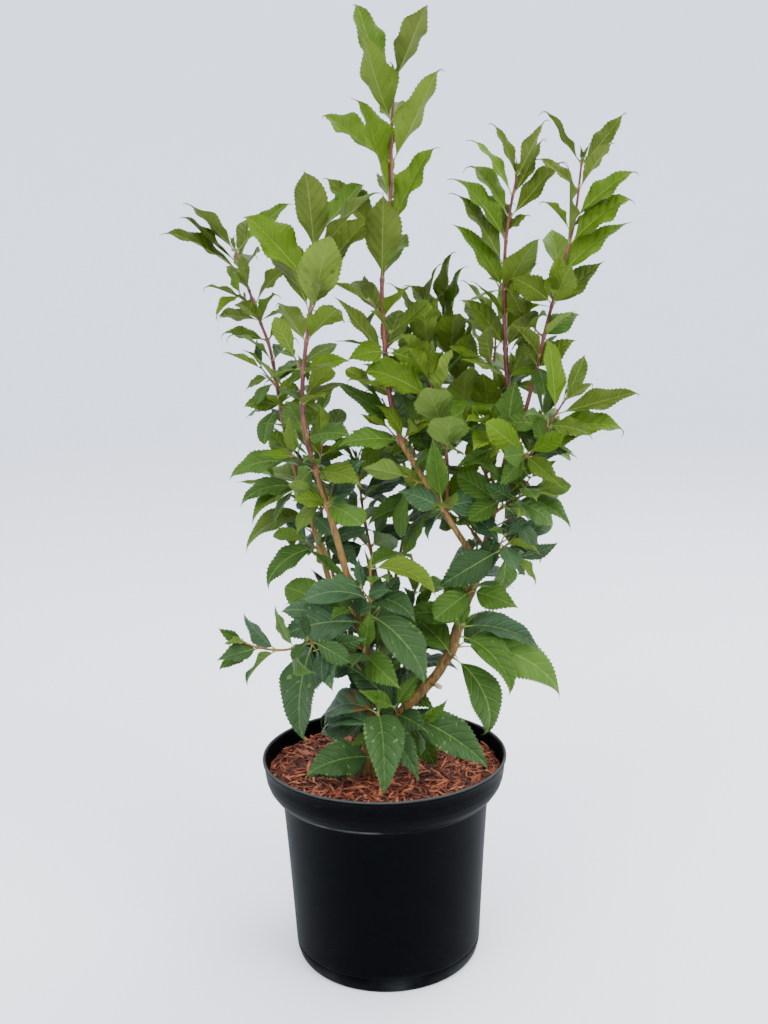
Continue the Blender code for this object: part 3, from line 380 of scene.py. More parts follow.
# top is how far the first pair sits below the tip. A pair of values runs from the tip to the foot.
# lengths are the leaves' lengths at each node from the tip. reach gives, for a node, how far to the
# right and up of it the tips of its front and back leaf lie.
SHOOT_VALUES = ("points", "thick", "top", "gap", "turn", "lift", "bend", "wide", "lengths", "reach")
SHOOT_ROWS = {
    "foliage_centre": (
        ((18, -2, 410), (9, -2, 451), (6, 0, 503), (6, 0, 535), (13, 2, 590), (15, 4, 639),
         (18, 5, 676)),
        (2.0, 0.9), 3, (29, 26), 10, (26, 54), (-14, 20), (0.36, 0.4),
        (66, 72, 80, 76, 72, 68, 48, 52, 50, 60, 56),
        {0: ((22, 40), (-25, 58)), 1: ((-19, 52), (6, 29)), 2: ((32, 57), (-50, 45)),
         3: ((-13, 76), (8, 32)), 4: ((29, 70), (-43, 51)), 5: ((2, 57), (15, 40)),
         6: ((21, 23), (-22, 29)), 7: ((-36, 45), (12, 34)), 8: ((-31, 11), (33, 5)),
         9: ((-48, 36), (18, 35)), 10: ((-48, 0), None)}),
    "foliage_right_centre": (
        ((104, 10, 413), (101, 13, 450), (99, 15, 487), (99, 18, 544), (103, 18, 580), (109, 18, 610)),
        (2.2, 0.8), 3, (15, 24), 20, (24, 50), (0, 22), (0.3, 0.44),
        (44, 50, 58, 58, 60, 66, 52, 52, 48),
        {0: ((16, 34), (-15, 39)), 1: ((-28, 41), (33, 33)), 2: ((39, 42), (-30, 41)),
         3: ((-40, 49), None), 4: ((-36, 56), None), 5: ((20, 38), (-39, 53)), 6: (None, (25, 44)),
         7: ((16, 28), (-34, 40))}),
    "foliage_far_right": (
        ((99, 9, 395), (107, 2, 410), (113, 0, 434), (119, -4, 459), (127, -12, 498), (138, -18, 541),
         (145, -20, 569), (150, -20, 612)),
        (1.9, 0.8), 3, (18, 26), 0, (36, 50), (-5, 20), (0.3, 0.48),
        (50, 44, 50, 56, 60, 50, 38, 38),
        {0: ((-28, 32), (31, 36)), 1: ((16, 27), (-25, 27)), 2: ((42, 33), None),
         3: ((-3, 51), (44, 34)), 4: ((52, 38), (1, 39)), 5: ((8, 29), (38, 32)), 6: ((19, 19), None),
         7: ((30, 23), None)}),
    "foliage_left_centre": (
        ((-24, -20, 306), (-36, -22, 356), (-52, -22, 414), (-55, -20, 446), (-52, -20, 479),
         (-47, -20, 510), (-42, -18, 553), (-41, -18, 566)),
        (2.6, 0.9), 1, (18, 28), 40, (34, 58), (-4, 30), (0.38, 0.52),
        (62, 66, 70, 74, 56, 44, 42, 46, 46, 46),
        {0: ((-31, 35), (35, 36)), 1: ((-3, 57), None), 2: ((-46, 51), (42, 50)), 3: ((18, 53), None),
         4: ((26, 23), (-22, 32)), 5: ((24, 6), None), 6: ((19, 8), None), 7: ((34, 4), None),
         8: ((35, -8), None), 9: ((26, -9), None)}),
    "foliage_left": (
        ((-39, 22, 289), (-53, 30, 341), (-67, 36, 388), (-75, 38, 423), (-83, 42, 479), (-91, 44, 504),
         (-102, 46, 538), (-109, 46, 561)),
        (2.3, 0.8), 3, (9, 27), 20, (40, 68), (0, 50), (0.28, 0.4),
        (60, 58, 72, 36, 50, 40, 34, 44, 44, 44, 56, 56, 56, 62, 56),
        {0: ((-30, 34), (41, 39)), 1: ((-37, 35), (2, 40)), 2: ((-53, 32), (3, 21)),
         4: ((32, 28), None), 5: ((-13, 15), None), 7: ((-30, 23), (15, 20)), 8: ((-24, 29), (25, 20)),
         9: ((-10, -25), None), 10: ((-26, 48), None), 11: ((-53, -13), None), 12: ((-47, -9), None),
         13: ((-55, -27), (-19, -37)), 14: ((-45, -33), None)}),
    "foliage_right_side": (
        ((98, 9, 388), (118, -12, 403), (128, -20, 424), (139, -25, 443)),
        (1.5, 0.7), 3, (11, 17), 30, (36, 62), (5, 26), (0.3, 0.42),
        (44, 58, 54, 36, 42),
        {0: ((14, 15), (19, 33)), 1: ((61, 16), (-5, 56)), 2: ((58, -1), (3, 12)), 3: ((31, 12), None),
         4: ((30, 10), (0, 19))}),
    "foliage_right_fan": (
        ((88, 8, 352), (102, -2, 364), (112, -8, 370), (122, -10, 374)),
        (1.3, 0.7), 3, (10, 11), 60, (46, 72), (20, 40), (0.38, 0.46),
        (42, 50, 50, 46),
        {0: ((24, 5), (21, 11)), 1: ((33, -22), (35, -4)), 2: ((1, -9), (35, -26)),
         3: ((16, -4), None)}),
    "foliage_right_spur": (
        ((80, 6, 316), (93, -3, 326), (100, -7, 333)),
        (1.1, 0.7), 3, (9, 9), 70, (50, 72), (30, 40), (0.46, 0.5),
        (44, 50),
        {0: ((20, 0), (30, -20)), 1: ((-49, -29), (19, -28))}),
    "foliage_back_right": (
        ((91, 8, 364), (86, 30, 408), (91, 42, 432), (95, 54, 462), (97, 62, 500)),
        (1.6, 0.7), 4, (18, 24), 45, (34, 60), (5, 30), (0.42, 0.5),
        (52, 60, 62, 60, 54),
        {}),
    "foliage_inner": (
        ((90, 8, 358), (78, 22, 404), (66, 40, 440), (60, 52, 470), (54, 58, 505)),
        (1.5, 0.7), 3, (16, 24), 20, (28, 56), (0, 25), (0.4, 0.5),
        (46, 56, 62, 60, 56),
        {0: ((6, 54), None), 1: ((11, 58), None), 2: ((-4, 38), (-18, 44)), 3: ((9, 43), None),
         4: ((3, 37), None)}),
    "foliage_middle": (
        ((42, 2, 370), (50, -10, 394), (51, -12, 412), (44, -12, 440), (40, -8, 458)),
        (1.4, 0.6), 3, (16, 20), 60, (34, 62), (5, 30), (0.44, 0.52),
        (42, 54, 60, 58),
        {2: ((-14, 33), None), 3: ((2, 30), (-34, -26))}),
    "foliage_inner_left": (
        ((52, 3, 353), (54, 22, 396), (46, 34, 440), (40, 42, 476), (38, 46, 498)),
        (1.4, 0.6), 3, (17, 22), 30, (32, 60), (5, 30), (0.4, 0.5),
        (46, 56, 60, 58, 54),
        {0: ((11, 52), None), 1: ((-3, 39), None)}),
    "foliage_back": (
        ((1, 40, 272), (-8, 55, 316), (-14, 62, 350), (-18, 70, 392)),
        (1.7, 0.7), 3, (16, 22), 30, (38, 60), (10, 40), (0.38, 0.46),
        (42, 52, 54, 50, 46),
        {0: ((30, 11), None), 1: ((29, 29), None), 2: ((30, 21), None)}),
    "foliage_low_middle": (
        ((-15, -16, 266), (-12, -30, 282), (-7, -37, 300), (-8, -36, 322)),
        (1.5, 0.8), 2, (12, 12), 15, (58, 80), (34, 50), (0.44, 0.44),
        (56, 44, 46, 74, 64),
        {0: ((50, -21), (42, -2)), 2: ((33, -10), (-49, 1)), 3: ((44, -60), (-41, -37)),
         4: ((-64, -10), None)}),
    "foliage_low_right": (
        ((47, 0, 233), (56, -12, 246), (60, -17, 262), (63, -20, 272)),
        (1.3, 0.8), 2, (9, 12), 20, (56, 84), (30, 60), (0.4, 0.46),
        (58, 60, 76, 66),
        {0: ((60, -20), (-37, -2)), 1: ((46, -39), (2, 42)), 2: ((82, -43), None),
         3: ((24, -67), None)}),
    "foliage_low_left": (
        ((-12, -15, 253), (-46, -35, 265), (-72, -45, 262), (-92, -50, 266), (-104, -52, 272)),
        (1.3, 0.7), 3, (12, 17), 60, (44, 74), (10, 40), (0.46, 0.46),
        (20, 34, 42, 36, 72, 42),
        {0: ((-19, 11), None), 1: ((-31, -6), (-32, -16)), 2: ((-20, -16), (-27, 25)),
         3: ((16, -11), None), 4: ((-10, -81), None), 5: ((0, -29), (-19, -3))}),
    "foliage_low_front": (
        ((-9, -26, 154), (-8, -32, 172), (-5, -38, 200), (-4, -40, 211)),
        (1.5, 0.9), 2, (13, 13), 100, (74, 80), (60, 40), (0.46, 0.46),
        (70, 58, 32, 59),
        {0: ((3, -46), (-48, -26)), 1: ((31, -30), (-45, -16)), 2: ((-17, 9), None),
         3: ((-53, -5), None)}),
    "foliage_low_spur": (
        ((9, -8, 188), (13, -19, 196), (17, -24, 204)),
        (1.4, 0.9), 2, (8, 8), 60, (60, 80), (30, 40), (0.42, 0.46),
        (80, 62),
        {0: ((64, -35), (-47, -9)), 1: (None, (-48, 49))}),
    "foliage_low_back": (
        ((12, 14, 154), (16, 30, 196), (20, 44, 240), (28, 60, 280)),
        (1.6, 0.8), 3, (18, 26), 30, (50, 76), (20, 50), (0.4, 0.46),
        (50, 54, 62, 60),
        {1: ((35, -43), None)}),
    "foliage_rear": (
        ((0, 33, 250), (14, 62, 300), (26, 84, 360), (34, 98, 430), (36, 104, 466)),
        (1.7, 0.7), 3, (18, 26), 30, (34, 66), (5, 36), (0.38, 0.46),
        (42, 54, 60, 62, 60, 56, 52),
        {}),
    "foliage_rear_left": (
        ((-31, 17, 261), (-42, 50, 312), (-52, 72, 370), (-60, 86, 430)),
        (1.6, 0.7), 3, (18, 26), 60, (36, 66), (5, 36), (0.38, 0.46),
        (42, 52, 56, 58, 56, 50),
        {}),
    "foliage_fork": (
        ((101, 10, 402), (96, -6, 411), (90, -12, 424)),
        (1.2, 0.7), 2, (10, 12), 60, (40, 64), (10, 36), (0.38, 0.44),
        (44, 52, 54),
        {0: ((-23, 19), None), 1: ((-27, -5), (35, 6)), 2: ((-19, 18), None)}),
    "foliage_back_spur": (
        ((82, 7, 325), (71, 20, 340), (60, 26, 352), (48, 26, 362)),
        (1.3, 0.7), 2, (11, 12), 30, (46, 70), (20, 44), (0.4, 0.46),
        (60, 46, 42),
        {0: ((-62, -18), (-31, -28)), 1: ((-22, -18), None), 2: ((7, -3), (-7, 29))}),
}
SHOOTS = {name: dict(zip(SHOOT_VALUES, values), seed=seed)
          for seed, (name, values) in enumerate(SHOOT_ROWS.items(), 1)}


# Helpers
def mix(ends, share):
    """A value between two others, at a share of the way."""
    return ends[0] + (ends[1] - ends[0]) * share


def turns_of(count):
    """The turns of even steps around a ring."""
    return np.arange(count) * 2 * np.pi / count


def right_of(axis):
    """The way across a shoot that lies most to the right."""
    return (RIGHT - RIGHT.dot(axis) * axis).normalized()


def outward(axis, turn):
    """The way out from a shoot at a turn about it that starts on its right."""
    side = right_of(axis)
    return side * math.cos(turn) + axis.cross(side) * math.sin(turn)


def box_of(places):
    """The lowest and the highest corner of the box around places."""
    return [Vector([pick(place[i] for place in places) for i in range(3)]) for pick in (min, max)]


def show(name, data):
    """A new object in the scene."""
    made = bpy.data.objects.new(name, data)
    bpy.context.scene.collection.objects.link(made)
    return made


def smooth(mesh, sharp):
    mesh.shade_smooth()
    mesh.set_sharp_from_angle(angle=math.radians(sharp))


def object_of(name, made):
    """The worked mesh as an object that isn't in the scene."""
    mesh = bpy.data.meshes.new(name)
    made.to_mesh(mesh)
    made.free()
    return bpy.data.objects.new(name, mesh)


# The rule, as in the source
class Path:
    """A smooth curve through places given in millimetres, from its foot to its tip."""

    def __init__(self, places):
        given = [Vector(place) * MM for place in places]
        given = [2 * given[0] - given[1]] + given + [2 * given[-1] - given[-2]]
        self.spots = []
        for a, b, c, d in zip(given, given[1:], given[2:], given[3:]):
            for step in range(PATH_STEPS):
                t = step / PATH_STEPS
                self.spots.append(0.5 * (2 * b + (c - a) * t + (2 * a - 5 * b + 4 * c - d) * t * t
                                         + (3 * b - a - 3 * c + d) * t ** 3))
        self.spots.append(given[-2])
        self.run = [0.0]
        for before, after in zip(self.spots, self.spots[1:]):
            self.run.append(self.run[-1] + (after - before).length)
        self.length = self.run[-1]

    def at(self, along):
        """The place and direction at a length along the curve."""
        last = len(self.spots) - 2
        i = 0
        while i < last and self.run[i + 1] < along:
            i += 1
        before, after = self.spots[i], self.spots[i + 1]
        share = (along - self.run[i]) / (self.run[i + 1] - self.run[i])
        return before.lerp(after, share), (after - before).normalized()


class Leaf:
    """One leaf: an arc that leaves its node at an angle from the shoot, folded along its midrib."""

    def __init__(self, root, axis, compass, lift, bend, length, width, face, fold):
        self.axis = axis
        self.out = outward(axis, math.radians(compass))
        self.root = root + self.out * NODE_OFFSET * MM
        self.lift = math.radians(lift)
        self.bend = math.radians(bend if abs(bend) > 1 else 1)
        self.length = length * MM
        self.width = width
        self.fold = math.radians(fold)
        along, upper = self.heading(ROLL_AT)
        wished = upper + face * (1 - self.out.dot(FRONT) ** 2) * (FRONT - FRONT.dot(along) * along)
        roll = math.atan2(wished.dot(along.cross(upper)), wished.dot(upper))
        self.roll = max(-MOST_ROLL, min(MOST_ROLL, math.degrees(roll)))

    def heading(self, t):
        """The midrib's direction and the upper side of a leaf that isn't rolled."""
        angle = self.lift + self.bend * t
        return (math.cos(angle) * self.axis + math.sin(angle) * self.out,
                math.sin(angle) * self.axis - math.cos(angle) * self.out)

    def middle(self, t):
        """The midrib's place, the way across the leaf and its upper side."""
        angle = self.lift + self.bend * t
        reach = self.length / self.bend
        spot = self.root + reach * ((math.sin(angle) - math.sin(self.lift)) * self.axis
                                    + (math.cos(self.lift) - math.cos(angle)) * self.out)
        along, flat = self.heading(t)
        roll = math.radians(self.roll)
        upper = flat * math.cos(roll) + along.cross(flat) * math.sin(roll)
        return spot, along.cross(upper), upper

    def half_width(self, t):
        if t <= STALK:
            return STALK_HALF_WIDTH * MM
        blade = (t - STALK) / (1 - STALK)
        widest = WIDEST_FALL / (WIDEST_FALL + POINT_FALL)
        swell = (blade / widest) ** WIDEST_FALL * ((1 - blade) / (1 - widest)) ** POINT_FALL
        return 0.5 * self.width * self.length * swell

    def solid(self, start=0.0, side_pad=0.0, face_pad=0.0):
        """A blade of four-cornered rings and a point: left edge, top, right edge, underside."""
        stations = SMALL_STATIONS if self.length < SMALL_LEAF * MM else STATIONS
        stations = [start] + [t for t in stations if t > start]
        half_thick = max(LEAST_THICK * MM, LEAF_THICK * self.length) / 2 + face_pad * MM
        places = []
        for t in stations:
            spot, across, upper = self.middle(t)
            wide = self.half_width(t) + side_pad * MM
            edge = across * wide * math.cos(self.fold)
            rise = upper * wide * math.sin(self.fold)
            places += [spot + edge + rise, spot + upper * half_thick,
                       spot - edge + rise, spot - upper * half_thick]
        places.append(self.middle(1.0)[0])
        faces = [(0, 1, 2, 3)]
        for ring in range(0, 4 * len(stations) - 4, 4):
            for i in range(4):
                j = (i + 1) % 4
                faces.append((ring + i, ring + 4 + j, ring + j))
                faces.append((ring + i, ring + 4 + i, ring + 4 + j))
        last = 4 * len(stations) - 4
        for i in range(4):
            faces.append((last + (i + 1) % 4, last + i, last + 4))
        return places, faces


def nodes(shoot, path):
    """Where the pairs of leaves sit, from the tip down."""
    count = len(shoot["lengths"])
    along = path.length - shoot["top"] * MM
    spots = []
    for k in range(count):
        spots.append(path.at(max(along, 2 * MM)))
        along -= mix(shoot["gap"], k / max(count - 1, 1)) * MM
    return spots


def aimed(axis, reach, forward, length, bend):
    """Compass, lift, bend and length of a leaf whose tip lies a given way right and up of its node."""
    right, up = reach
    depth = min(math.sqrt(max((CHORD * length) ** 2 - right ** 2 - up ** 2, 0.0)), DEEPEST * length)
    tip = Vector((right, -depth if forward else depth, up))
    angle = math.degrees(tip.angle(axis))
    bend += ARCH * max(0.0, angle - ARCH_FROM)
    half = math.radians(max(abs(bend), 1.0)) / 2
    side = right_of(axis)
    compass = math.degrees(math.atan2(tip.dot(axis.cross(side)), tip.dot(side)))
    return compass, angle - bend / 2, bend, tip.length * half / math.sin(half)


def pair_ways(shoot, k, spot, draw):
    """The two leaves of a node, each as a function of a turn of compass and of lift."""
    root, axis = spot
    share = k / max(len(shoot["lengths"]) - 1, 1)
    ways = []
    for side, reach in enumerate(shoot["reach"].get(k, (None, None))):
        compass = shoot["turn"] + 90 * k + 180 * side + draw.uniform(-COMPASS_STRAY, COMPASS_STRAY)
        lift = mix(shoot["lift"], share) + draw.uniform(-LIFT_STRAY, LIFT_STRAY)
        bend = mix(shoot["bend"], share) + draw.uniform(-BEND_STRAY, BEND_STRAY)
        length = shoot["lengths"][k] * draw.uniform(*LENGTH_STRAY)
        width = mix(shoot["wide"], share) * draw.uniform(*WIDTH_STRAY)
        face = draw.uniform(*FACE_STRAY)
        fold = mix(FOLD, share) * draw.uniform(*FOLD_STRAY)
        if reach:
            usual = shoot["lengths"][k]
            compass, lift, bend, length = aimed(axis, reach, side == 0, usual, bend)
            width *= usual / length
        ways.append(lambda turn, rise, values=(compass, lift, bend, length, width, face, fold):
                    Leaf(root, axis, values[0] + turn, values[1] + rise, *values[2:]))
    return ways


class Space:
    """The bodies already in place, to keep new ones clear of them."""

    def __init__(self):
        self.bodies = []

    def add(self, name, places, faces):
        self.bodies.append((name, BVHTree.FromPolygons(places, faces), *box_of(places)))

    def add_mesh(self, name, mesh):
        self.add(name, [vertex.co.copy() for vertex in mesh.vertices],
                 [tuple(face.vertices) for face in mesh.polygons])

    def meets(self, places, faces, but=()):
        low, high = box_of(places)
        tree = None
        for name, other, other_low, other_high in self.bodies:
            apart = any(low[i] > other_high[i] or high[i] < other_low[i] for i in range(3))
            if name in but or apart:
                continue
            tree = tree or BVHTree.FromPolygons(places, faces)
            if tree.overlap(other):
                return True
        return False

    def distance(self, place):
        """How far a place is from the nearest body, less than nothing inside one."""
        nearest = 1.0
        for _, tree, low, high in self.bodies:
            if any(place[i] < low[i] - NEAR * MM or place[i] > high[i] + NEAR * MM for i in range(3)):
                continue
            spot, normal, _, far = tree.find_nearest(place)
            nearest = min(nearest, -far if (place - spot).dot(normal) < 0 else far)
        return nearest


def over_pot(places):
    """Whether a body stays above the mulch inside the pot."""
    rim = (BAND[0][0] - SHELL) * MM
    return all(place.z > OVER_MULCH * MM or place.xy.length > rim for place in places)


def place_leaf(way, own_shoot, own_leaves, space):
    """The first way for a leaf to hang that is clear of all else, or None.

    It may touch its own shoot and that shoot's leaves near its root, where they are fused.
    """
    for turn, rise in SHIFTS:
        leaf = way(turn, rise)
        tests = ((0.0, (own_shoot, own_leaves)), (FREE_OF_LEAVES, (own_shoot,)), (FREE_OF_SHOOT, ()))
        if not over_pot(leaf.solid(FREE_OF_LEAVES)[0]):
            continue
        if any(space.meets(*leaf.solid(start, SIDE_CLEAR, FACE_CLEAR), but) for start, but in tests):
            continue
        return leaf
    return None


# The fine leaf
class Heap:
    """Places and faces that are joined into one piece, with a leaf's coordinates and tone."""

    def __init__(self):
        self.places, self.faces, self.slots, self.uvs, self.tones = [], [], [], [], []
        self.count = 0

    def add(self, places, faces, uvs, slots=None, tone=0.5):
        self.places.append(places)
        self.faces += [[self.count + i for i in face] for face in faces]
        self.slots += slots or [0] * len(faces)
        self.uvs.append(uvs)
        self.tones.append(np.full(len(places), tone))
        self.count += len(places)

    def add_tube(self, places, radii, sides, tone, **more):
        self.add(*tube(places, radii * MM, sides, **more), tone=tone)

    def piece(self, name, finishes, sharp=TWIG_SHARP):
        """The heap as one smooth-shaded object, with its UV map and the attribute tone."""
        mesh = bpy.data.meshes.new(name)
        mesh.from_pydata(np.vstack(self.places).tolist(), [], self.faces)
        mesh.polygons.foreach_set("material_index", np.array(self.slots, dtype=np.int32))
        corners = np.zeros(len(mesh.loops), dtype=np.int32)
        mesh.loops.foreach_get("vertex_index", corners)
        uvs = mesh.uv_layers.new(name="along_and_across")
        uvs.data.foreach_set("uv", np.vstack(self.uvs)[corners].ravel())
        tones = mesh.attributes.new("tone", "FLOAT", "POINT")
        tones.data.foreach_set("value", np.concatenate(self.tones))
        smooth(mesh, sharp)
        for finish in finishes:
            mesh.materials.append(finish)
        return show(name, mesh)


def leaf_line(leaf, ts, hook, twist):
    """Places, directions, ways across and upper sides along a leaf's midrib, with its tip hooked."""
    fine = np.linspace(0.0, 1.0, LINE_STEPS + 1)
    axis, out = np.array(leaf.axis), np.array(leaf.out)

    def angles(t):
        past = np.clip((t - HOOK_FROM) / (1 - HOOK_FROM), 0.0, 1.0)
        return leaf.lift + leaf.bend * t + hook * past ** 2

    ahead = np.outer(np.cos(angles(fine)), axis) + np.outer(np.sin(angles(fine)), out)
    steps = (ahead[1:] + ahead[:-1]) / 2 * leaf.length / LINE_STEPS
    line = np.array(leaf.root) + np.vstack([np.zeros(3), np.cumsum(steps, axis=0)])
    spots = np.stack([np.interp(ts, fine, line[:, i]) for i in range(3)], axis=1)
    turn = angles(ts)
    along = np.outer(np.cos(turn), axis) + np.outer(np.sin(turn), out)
    flat = np.outer(np.sin(turn), axis) - np.outer(np.cos(turn), out)
    roll = (math.radians(leaf.roll) + twist * (ts - ROLL_AT))[:, None]
    upper = flat * np.cos(roll) + np.cross(along, flat) * np.sin(roll)
    return spots, along, np.cross(along, upper), upper


def blade_widths(leaf, blade, outline):
    """Half the blade's width at shares of its length."""
    base, point = outline
    widest = base / (base + point)
    swell = (blade / widest) ** base * ((1 - blade) / (1 - widest)) ** point
    return np.maximum(0.5 * leaf.width * leaf.length * swell, STALK_HALF_WIDTH * MM * (1 - blade))


def vein_phase(along, aside):
    """Counts the side veins from the stalk on. They leave the midrib aslant and curve to the tip."""
    return VEINS * along - VEIN_LEAN * aside - VEIN_CURVE * aside ** 2


def both_sides(columns):
    """Places across a leaf as shares of its half width, from its left edge to its right edge."""
    return np.array([-share for share in columns[:0:-1]] + list(columns))


def grow_blade(leaf, heap, draw, kind, tone):
    """A toothed, folded and quilted blade: one closed skin with its upper and under side."""
    look = KINDS[kind]
    hook = math.radians(draw.uniform(*look["hook"]))
    fold = leaf.fold + math.radians(look["fold"])
    droop = draw.uniform(*look["droop"])
    twist = math.radians(draw.uniform(-look["twist"], look["twist"]))
    wave_phase = draw.uniform(0, FULL_TURN)
    wave_turns = draw.uniform(*WAVE_TURNS)
    teeth = max(FEWEST_TEETH, round(leaf.length / MM * (1 - STALK) / TOOTH_PITCH))
    notches = np.arange(teeth) / teeth
    blade = np.sort(np.concatenate([notches, notches + TOOTH_LEAN / teeth]))
    is_tooth = np.arange(2 * teeth) % 2
    stations = STALK + (1 - STALK) * np.append(blade, 1.0)
    spots, _, across, upper = leaf_line(leaf, stations, hook, twist)
    base, point = look["outline"]
    drawn_out = look["drawn_out"] * (0.5 + 0.5 * math.sin(wave_phase))
    outline = (base - drawn_out * OUTLINE_SHIFT, point + drawn_out)
    half = blade_widths(leaf, blade, outline) * look["wide"]
    depth = (TOOTH_DEPTH * MM + TOOTH_SHARE * leaf.length) * look["tooth"]
    full = np.clip((blade - TEETH_FROM) / (TEETH_FULL - TEETH_FROM), 0, 1)
    full = full * np.clip((1 - blade) * TEETH_FADE, 0, 1)
    tooth = is_tooth * full * np.minimum(depth, half * TOOTH_OF_HALF)

    def surface(shares, face):
        size = np.abs(shares)[None, :]
        along, halves = blade[:, None], half[:, None]
        wide = halves * size + tooth[:, None] * (size > EDGE)
        rise = halves * (math.sin(fold) * size - droop * size ** 2)
        ribs = np.abs(np.sin(np.pi * vein_phase(along, wide / leaf.length))) - QUILT_BASE
        puff = look["quilt"] * halves * ribs * size ** 0.5 * (1 - size ** 2)
        side_phase = wave_phase + (shares[None, :] > 0) * WAVE_SHIFT
        waves = np.sin(FULL_TURN * wave_turns * along + side_phase)
        wave = look["wave"] * halves * size ** 2 * waves
        thick = face * BLADE_THICK * MM / 2 * (size < EDGE)
        lift = (rise + puff + wave * full[:, None] + thick)[..., None] * upper[:-1, None, :]
        aside = np.sign(shares)[None, :] * wide
        out = (aside * math.cos(fold))[..., None] * across[:-1, None, :]
        uvs = np.stack([np.broadcast_to(along, wide.shape), 0.5 + aside / leaf.length], axis=-1)
        return (spots[:-1, None, :] + lift + out).reshape(-1, 3), uvs.reshape(-1, 2)

    top, top_uv = surface(both_sides(COLUMNS), 1)
    under, under_uv = surface(both_sides(UNDER_COLUMNS), -1)
    rows = len(blade)
    top_at = np.arange(len(top)).reshape(rows, -1)
    under_at = len(top) + np.arange(len(under)).reshape(rows, -1)
    tip = len(top) + len(under)
    below = np.hstack([top_at[:, :1], under_at, top_at[:, -1:]])
    faces = []
    slots = []
    for grid, slot in ((top_at, 0), (below[:, ::-1], 1)):
        quads = np.stack([grid[:-1, :-1], grid[:-1, 1:], grid[1:, 1:], grid[1:, :-1]], axis=-1)
        faces += quads.reshape(-1, 4).tolist()
        faces += [[int(a), int(b), tip] for a, b in zip(grid[-1, :-1], grid[-1, 1:])]
        slots += [slot] * (len(blade) * (grid.shape[1] - 1))
    faces.append([int(i) for i in below[0, 1:-1]] + [int(i) for i in top_at[0, ::-1]])
    slots.append(1)
    heap.add(np.vstack([top, under, spots[-1:]]), faces,
             np.vstack([top_uv, under_uv, [[1.0, 0.5]]]), slots, tone)
    return hook, twist


def tube(places, radii, sides, squareness=0.0, relief=0.0):
    """Places, faces and UVs of a closed round or squarish tube, with a rounded end at its tip."""
    places = np.asarray(places, dtype=float)
    ahead = np.gradient(places, axis=0)
    ahead /= np.linalg.norm(ahead, axis=1)[:, None]
    side = np.zeros_like(places)
    first = np.cross(ahead[0], (0.0, 0.0, 1.0) if abs(ahead[0][2]) < 0.9 else (1.0, 0.0, 0.0))
    side[0] = first / np.linalg.norm(first)
    for i in range(1, len(places)):
        turned = side[i - 1] - ahead[i] * side[i - 1].dot(ahead[i])
        side[i] = turned / np.linalg.norm(turned)
    turn = turns_of(sides)
    radius = np.asarray(radii)[:, None] * (1 + squareness * np.cos(4 * turn))[None, :] * (1 + relief)
    around = (np.cos(turn)[None, :, None] * side[:, None, :]
              + np.sin(turn)[None, :, None] * np.cross(ahead, side)[:, None, :])
    rings = places[:, None, :] + radius[..., None] * around
    count = len(places)
    at = np.arange(count * sides).reshape(count, sides)
    after = np.roll(at, -1, axis=1)
    faces = np.stack([at[:-1], after[:-1], after[1:], at[1:]], axis=-1).reshape(-1, 4).tolist()
    faces += [at[0, ::-1].tolist(), at[-1].tolist()]
    shares = (np.linspace(0, 1, count)[:, None], (turn / (2 * np.pi))[None, :])
    uvs = np.stack(np.broadcast_arrays(*shares), axis=-1)
    return rings.reshape(-1, 3), faces, uvs.reshape(-1, 2)


def grow_midrib(leaf, heap, hook, twist, tone):
    """The stalk and the midrib, which stands a little proud of both sides of the blade."""
    ts = np.linspace(0.0, MIDRIB_END, MIDRIB_STEPS)
    spots = leaf_line(leaf, ts, hook, twist)[0]
    size = min(1.0, MIDRIB_LEAST + leaf.length / MM / MIDRIB_GROWS)
    radii = np.interp(ts, *zip(*MIDRIB_RADII))
    heap.add_tube(spots, radii * size, MIDRIB_SIDES, tone)


# Growth
def smooth_path(path, step):
    """Places along a path at even steps, rounded where its short straight runs meet."""
    count = max(4, round(path.length / (step * MM)))
    places = np.array([path.at(path.length * i / count)[0] for i in range(count + 1)])
    for _ in range(4):
        places[1:-1] = (places[:-2] + 2 * places[1:-1] + places[2:]) / 4
    return places


def stem_line(item, step):
    """A shoot's or limb's path, places along it, how far along they lie and their radii."""
    path = Path(item["points"])
    places = smooth_path(path, step)
    far = path.length / MM
    stops = np.linspace(0, far, len(places))
    return path, places, stops, np.interp(stops, (0, far), item["thick"])


def clear_foot(path, radius, space):
    """The first length along a path at which its cut end is clear of every body in place."""
    along = 0.0
    while along < path.length / 2:
        spot, ahead = path.at(along)
        side = ahead.orthogonal().normalized()
        turns = [math.radians(45 * i) for i in range(8)]
        ring = [spot + (side * math.cos(turn) + ahead.cross(side) * math.sin(turn)) * radius * MM
                for turn in turns]
        if all(space.distance(place) > GAP * MM for place in ring + [spot]):
            return along
        along += FOOT_STEP * MM
    return along


